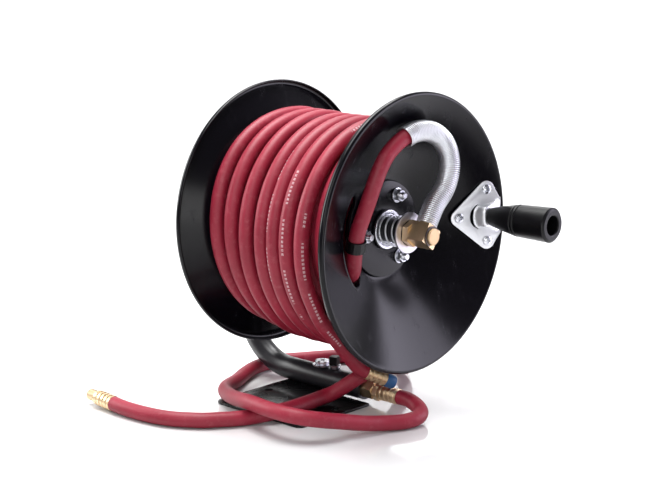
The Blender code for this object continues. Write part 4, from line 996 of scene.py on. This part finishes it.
plate_thickness, plate_edge, hole_radius, wide_corner, tight_corner = 3.0, 0.5, 4.5, 11.0, 3.0
corner_radii = np.array((wide_corner, wide_corner, tight_corner, tight_corner, wide_corner, wide_corner))
plate_outline = soften([(-68, -121), (68, -121), (68, -7.4), (8, -7.4), (8, 49), (-68, 49)], corner_radii, 10)
holes = [circle((x, y), hole_radius, 48) for x in (-53, 53) for y in (-105, -49)]
plate = flat_sheet("plate_pressed", [plate_outline] + holes, plate_thickness, plate_edge)
shift(plate, Matrix.Translation((0, 0, plate_thickness / 2 * MM)))
dressed(plate, "stand", plate_coat, "base_plate")
print("base plate ready")

# %% Plug and capped stud on the foot
pipe_top = np.array((0.0, 0.0, foot_height + pipe_outer + gap))
plug_origin, stud_origin = (pipe_top + (-13.0, 0, 0)) * MM, (pipe_top + (6.0, 0, 0)) * MM
plug_hex = hex_nut("plug_hex", plug_origin, (0, 0, 1), start=1.8, height=4.4, across=16.0, hole=3.9, turn=10)
plug_base = [(-4.4, 0.0), (-4.4, 3.9), (0.0, 3.9), (0.0, 11.0), (0.4, 11.5), (1.3, 11.5), (1.8, 11.0),
             (1.8, 4.1), (6.1, 4.1), (6.1, 3.2), (5.3, 2.4), (5.3, 0.0)]
dressed(plug_hex, "stand", bright_zinc, "port_plug")
turned("plug_washer", plug_base, plug_origin, "stand", bright_zinc, way=(0, 0, 1), segments=64)
stud = [(-4.4, 0.0), (-4.4, 4.0), (0.0, 4.0), (0.0, 7.2), (0.3, 7.4), (3.7, 7.4), (4.0, 7.1), (4.0, 4.0),
        (10.0, 4.0), (10.0, 0.0)]
turned("stud_collar", stud, stud_origin, "stand", bright_zinc, "capped_stud", way=(0, 0, 1), segments=56)
stud_cap = [(4.3, 4.3), (4.3, 6.6), (5.0, 7.2), (12.9, 7.2), (14.3, 6.0), (14.3, 0.0), (10.7, 0.0),
            (10.7, 4.3)]
turned("stud_cap_moulded", stud_cap, stud_origin, "stand", black_plastic, "stud_cap", crease=24.0,
       way=(0, 0, 1), flats=4, across=9.6, turn=20)
print("plug and stud ready")

# %% [markdown]
# ## The crank
#
# A zinc bracket with three lobes lies on the dish. Its middle is pressed forward into a flat seat for the
# grip's bolt, and a crescent is left open where the metal was drawn away. The grip is a plastic sleeve that
# swells towards its end and turns freely.

# %% Bracket plate and saddle
handle_circle, handle_turn, screw_radius = 128.0, math.radians(1.5), 99.5
along_axle = np.array((1.0, 0, 0))
outward = np.array((0, math.cos(handle_turn), math.sin(handle_turn)))
sideways = np.array((0, -math.sin(handle_turn), math.cos(handle_turn)))
slope_way = outward * math.cos(dish_tilt) + along_axle * math.sin(dish_tilt)
plate_way = along_axle * math.cos(dish_tilt) - outward * math.sin(dish_tilt)
inner_screw = np.array((dish_place(screw_radius), 0, axle_height)) + outward * screw_radius
lobes = ((0.0, 0.0), (33.8, 31.2), (35.2, -28.9))
lobe_radius, outer_edge = 9.6, 51.5
bracket_sheet, saddle_sheet, saddle_face = 2.0, 1.7, 130.5


def saddle_line(tip, depth, half, round_length, flare, flare_start):
    """A horseshoe in (out, over): a blunt rounded tip, and sides that flare towards the open end.

    The distance from the tip is depth * s^2 with s from -1 to 1, the tip is a superellipse of power 2.2
    and the flare a smooth step.
    """
    s = np.linspace(-1.0, 1.0, 81)
    away = depth * s ** 2
    tip_share = (1 - (1 - np.clip(away / round_length, 0, 1)) ** 2.2) ** (1 / 2.2)
    width = half * tip_share + flare * eased(away, flare_start, depth)
    return np.column_stack([tip + away, np.sign(s) * width])


foot_tip = 18.0
foot_line = saddle_line(foot_tip, outer_edge - foot_tip, half=13.4, round_length=8.0, flare=7.0,
                        flare_start=9.0)
face_line = saddle_line(119.0, 27.0, half=10.8, round_length=6.5, flare=5.8, flare_start=4.0)
foot_sides = foot_line[foot_line[:, 0] > 26.5]
low_foot, high_foot = foot_sides[foot_sides[:, 1] < 0], foot_sides[foot_sides[:, 1] > 0]
high_way = 90 + math.degrees(math.atan2(lobes[1][1], lobes[1][0]))
low_way = 270 + math.degrees(math.atan2(lobes[2][1], lobes[2][0]))
bracket_edge = np.vstack([
    arc(lobes[0], lobe_radius, high_way, low_way, 24), arc(lobes[2], lobe_radius, low_way, 331, 24),
    arc((outer_edge - 3.0, -18.4), 3.0, 331, 358, 6), low_foot, arc((28.8, 0.0), 15.1, 250, 110, 30),
    high_foot, arc((outer_edge - 3.0, 18.1), 3.0, 2, 29, 6), arc(lobes[1], lobe_radius, 29, high_way, 24)])
reach = screw_radius + bracket_edge[:, 0] * math.cos(dish_tilt)
rise = (np.hypot(reach, bracket_edge[:, 1]) - reach) * math.tan(dish_tilt) * math.cos(dish_tilt)
plate_seat = rise.max() + gap
screw_holes = [circle(center, 2.8, 32) for center in lobes]
bracket = flat_sheet("bracket_plate", [bracket_edge] + screw_holes, bracket_sheet, 0.35)
plate_middle = inner_screw + plate_way * (plate_seat + bracket_sheet / 2)
plate_turn = Matrix((Vector(slope_way), Vector(sideways), Vector(plate_way))).transposed().to_4x4()
shift(bracket, Matrix.Translation(Vector(plate_middle) * MM) @ plate_turn)
dressed(bracket, "drum", sheet_zinc, "handle_bracket")
print("bracket stands", round(plate_seat, 1), "mm off the dish")

# %% [markdown]
# The saddle is drawn out of the same sheet. Its foot is a horseshoe on the tilted plate and its top a
# smaller horseshoe in the grip's plane, open towards the rim. Between them the metal runs in an S, so both
# folds are round, and inside the upper line it is flat. At the tip it was torn free of the plate, which
# leaves the dark crescent.

# %% Saddle
face_origin = axle_point + saddle_face * along_axle
foot_origin = plate_middle + plate_way * bracket_sheet / 2
foot_points = foot_origin + foot_line[:, :1] * slope_way + foot_line[:, 1:] * sideways
face_points = face_origin + face_line[:, :1] * outward + face_line[:, 1:] * sideways
edge_over = np.linspace(face_line[0, 1], face_line[-1, 1], len(face_line))[:, None]
edge_points = face_origin + face_line[0, 0] * outward + edge_over * sideways
across_share = np.array((0.0, 0.12, 0.22, 0.3, 0.37, 0.44, 0.52, 0.62, 0.76, 1.0))[:, None, None]
rise_share = np.array((0.0, 0.02, 0.09, 0.22, 0.4, 0.6, 0.78, 0.91, 0.98, 1.0))[:, None, None]
span = (face_points - foot_points)[None]
lift = (span @ along_axle)[..., None] * along_axle
wall = foot_points + across_share * (span - lift) + rise_share * lift
top = face_points + np.linspace(0.0, 1.0, 7)[1:, None, None] * (edge_points - face_points)
saddle = weld(surface("bracket_saddle", np.vstack([wall, top]) * MM, wrap=False, ends=(False, False)), 50.0)
turn_to_front(saddle)
thicken(saddle, saddle_sheet, -1.0)
dressed(saddle, "drum", sheet_zinc)


# %% Bracket screws with cross recesses
def cross_recess(x, y):
    """How deep a cross slot is at a place on the head: full inside two crossing bars, none outside."""
    half_width, reach, depth = 1.0, 3.2, 1.9
    bars = [np.clip((half_width - np.abs(a)) / 0.35, 0, 1) * np.clip((reach - np.abs(b)) / 0.5, 0, 1)
            for a, b in ((x, y), (y, x))]
    return depth * np.maximum(*bars)


def pan_screw(name, origin, way, turn):
    """A domed head whose top is a polar grid, sunk where the cross recess is, over a plain shank."""
    head_radius, head_height, shank, length = 5.6, 2.9, 2.5, 11.0
    way, side, up = basis(way)
    dome = np.linspace(0.15, head_radius * 0.98, 22)
    radii = np.concatenate([dome, [head_radius, head_radius * 0.99, shank, shank]])[:, None]
    heights = np.concatenate([head_height * np.sqrt(np.clip(1 - (dome / head_radius) ** 2 * 0.82, 0, 1)),
                              [head_height * 0.28, 0.0, 0.0, -length]])[:, None]
    angle = round_angles(64)
    sunk_by = cross_recess(radii * np.cos(angle + turn), radii * np.sin(angle + turn))
    place = heights - np.where(radii < head_radius * 0.9, sunk_by, 0.0)
    ring = np.cos(angle)[:, None] * side + np.sin(angle)[:, None] * up
    grid = np.array(origin) + (place[..., None] * way + radii[..., None] * ring) * MM
    return weld(surface(name, grid), 40.0)


for letter, (out, over), turn in zip("abc", lobes, (0.3, 0.8, 0.1)):
    seat = plate_seat + bracket_sheet + gap
    foot = (inner_screw + slope_way * out + sideways * over + plate_way * seat) * MM
    screw = pan_screw("bracket_screw_head_" + letter, foot, plate_way, turn)
    dressed(screw, "drum", bright_zinc, "bracket_screw_" + letter)
print("bracket screws ready")

# %% Grip and its bolt
handle_axis = (axle_point + outward * handle_circle) * MM
grip_start, grip_end = saddle_face + 1.0, saddle_face + 85.0
recess_depth = 26.0
recess_floor = grip_end - recess_depth
share = np.linspace(0.0, 1.0, 240)
swell = 0.72 * np.clip(share / 0.46, 0, 1) ** 0.9 + 0.28 * share
body = np.column_stack([grip_start + 1.0 + share * (grip_end - grip_start - 3.4), 10.4 + 9.3 * swell])
for groove in (0.44, 0.5):
    body[:, 1] -= 1.2 * np.exp(-((share - groove) / 0.0085) ** 2)
inside = [(grip_end - 0.6, 18.2), (grip_end, 16.8), (grip_end, 12.2), (grip_end - 0.8, 11.0),
          (recess_floor, 11.0), (recess_floor, 4.3), (grip_start, 4.3), (grip_start, 9.2),
          (grip_start + 0.5, 10.1)]
grip_profile = np.vstack([body, soften(inside, 0.3)[4:]])
turned("grip_moulded", grip_profile, handle_axis, "grip", black_plastic, "handle_grip", closed=True)
bolt_head = [(gap, 4.0), (gap, 6.6), (0.8, 7.0), (4.4, 7.0), (5.3, 6.2), (5.3, 2.9), (2.8, 2.6), (2.8, 0.0)]
bolt = [(126.0, 0.0), (126.0, 4.0)] + [(recess_floor + place, radius) for place, radius in bolt_head]
turned("grip_bolt", bolt, handle_axis, "drum", bright_zinc, "handle_bolt", segments=48)
print("grip ready")

# %% [markdown]
# ## Pieces that keep their solid
#
# Some solids already have their real shape: the clamp, the bushes and the bare core. They only need a
# finish.

# %% Finishes for the kept solids
kept = {"hose_clamp": black_plastic, "near_bush": pale_plastic, "far_bush": pale_plastic,
        "drum_core": black_coat}
for node, material in kept.items():
    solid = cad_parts[node]
    for material_slot in solid.material_slots:
        material_slot.material = material
print("kept solids:", ", ".join(kept))

# %% [markdown]
# ## Studio
#
# Gloss black only shows what it mirrors. A wide key box stands on the crank side, a small low box lights
# the foot, and two boxes at either side give each rim and each turn of hose a broad light that falls off
# beyond it. One more hangs above. The air itself adds little. The pale floor curves up into a wall that has
# a light of its own.

# %% Floor and lights
def backdrop():
    """A floor that bends up into a wall behind the object: straight, a quarter circle, and straight."""
    turn = np.linspace(0.0, np.pi / 2, 30)
    run = np.concatenate([[-6.0], 2.6 + 1.4 * np.sin(turn), [4.0]])
    rise = np.concatenate([[0.0], 1.4 - 1.4 * np.cos(turn), [5.0]])
    forward = np.array((-0.687, 0.727, 0.0))
    across = np.linspace(-7.0, 7.0, 12)[None, :, None] * np.array((0.727, 0.687, 0.0))
    grid = run[:, None, None] * forward + rise[:, None, None] * np.array((0, 0, 1.0)) + across
    return surface("studio_floor", grid, wrap=False, ends=(False, False))


floor = backdrop()
studio = Finish("studio_paper", (0.6, 0.6, 0.602), 0.1, specular=0.9)
studio.feed("Roughness", 0.07 + 0.03 * studio.noise(3.0))
floor.data.materials.append(studio.material)


def soft_light(name, place, size, power, aim=(0.0, 0.0, 0.2), spread=180.0, color=(1.0, 1.0, 1.0)):
    """A square area light that looks at a point, which is the drum if no other is given."""
    light = bpy.data.lights.new(name, "AREA")
    light.color = color
    light.shape, light.size, light.energy = "SQUARE", size, power
    light.spread = math.radians(spread)
    towards = (Vector(aim) - Vector(place)).to_track_quat("-Z", "Y").to_matrix().to_4x4()
    added(name, light).matrix_world = Matrix.Translation(place) @ towards


soft_light("key_box", (0.75, -1.6, 1.1), 1.2, 17.0)
soft_light("low_box", (1.45, -0.6, 0.2), 0.5, 3.0)
soft_light("left_box", (-1.35, -0.65, 0.65), 0.9, 20.0)
soft_light("right_box", (1.12, 1.22, 0.6), 1.05, 21.0, color=(0.88, 0.84, 1.0))
soft_light("top_box", (-0.1, -0.3, 1.7), 0.9, 11.0, spread=110.0)
soft_light("wall_light", (-0.9, 1.0, 3.4), 2.4, 290.0, aim=(-2.2, 2.3, 0.3))
air = bpy.data.worlds.new("dim_room")
bpy.context.scene.world = air
air.use_nodes = True
air_shader = air.node_tree.nodes["Background"]
air_shader.inputs["Color"].default_value = (0.95, 0.96, 1.0, 1.0)
air_shader.inputs["Strength"].default_value = 0.16
bpy.context.scene.view_settings.view_transform = "Standard"
print("studio ready")
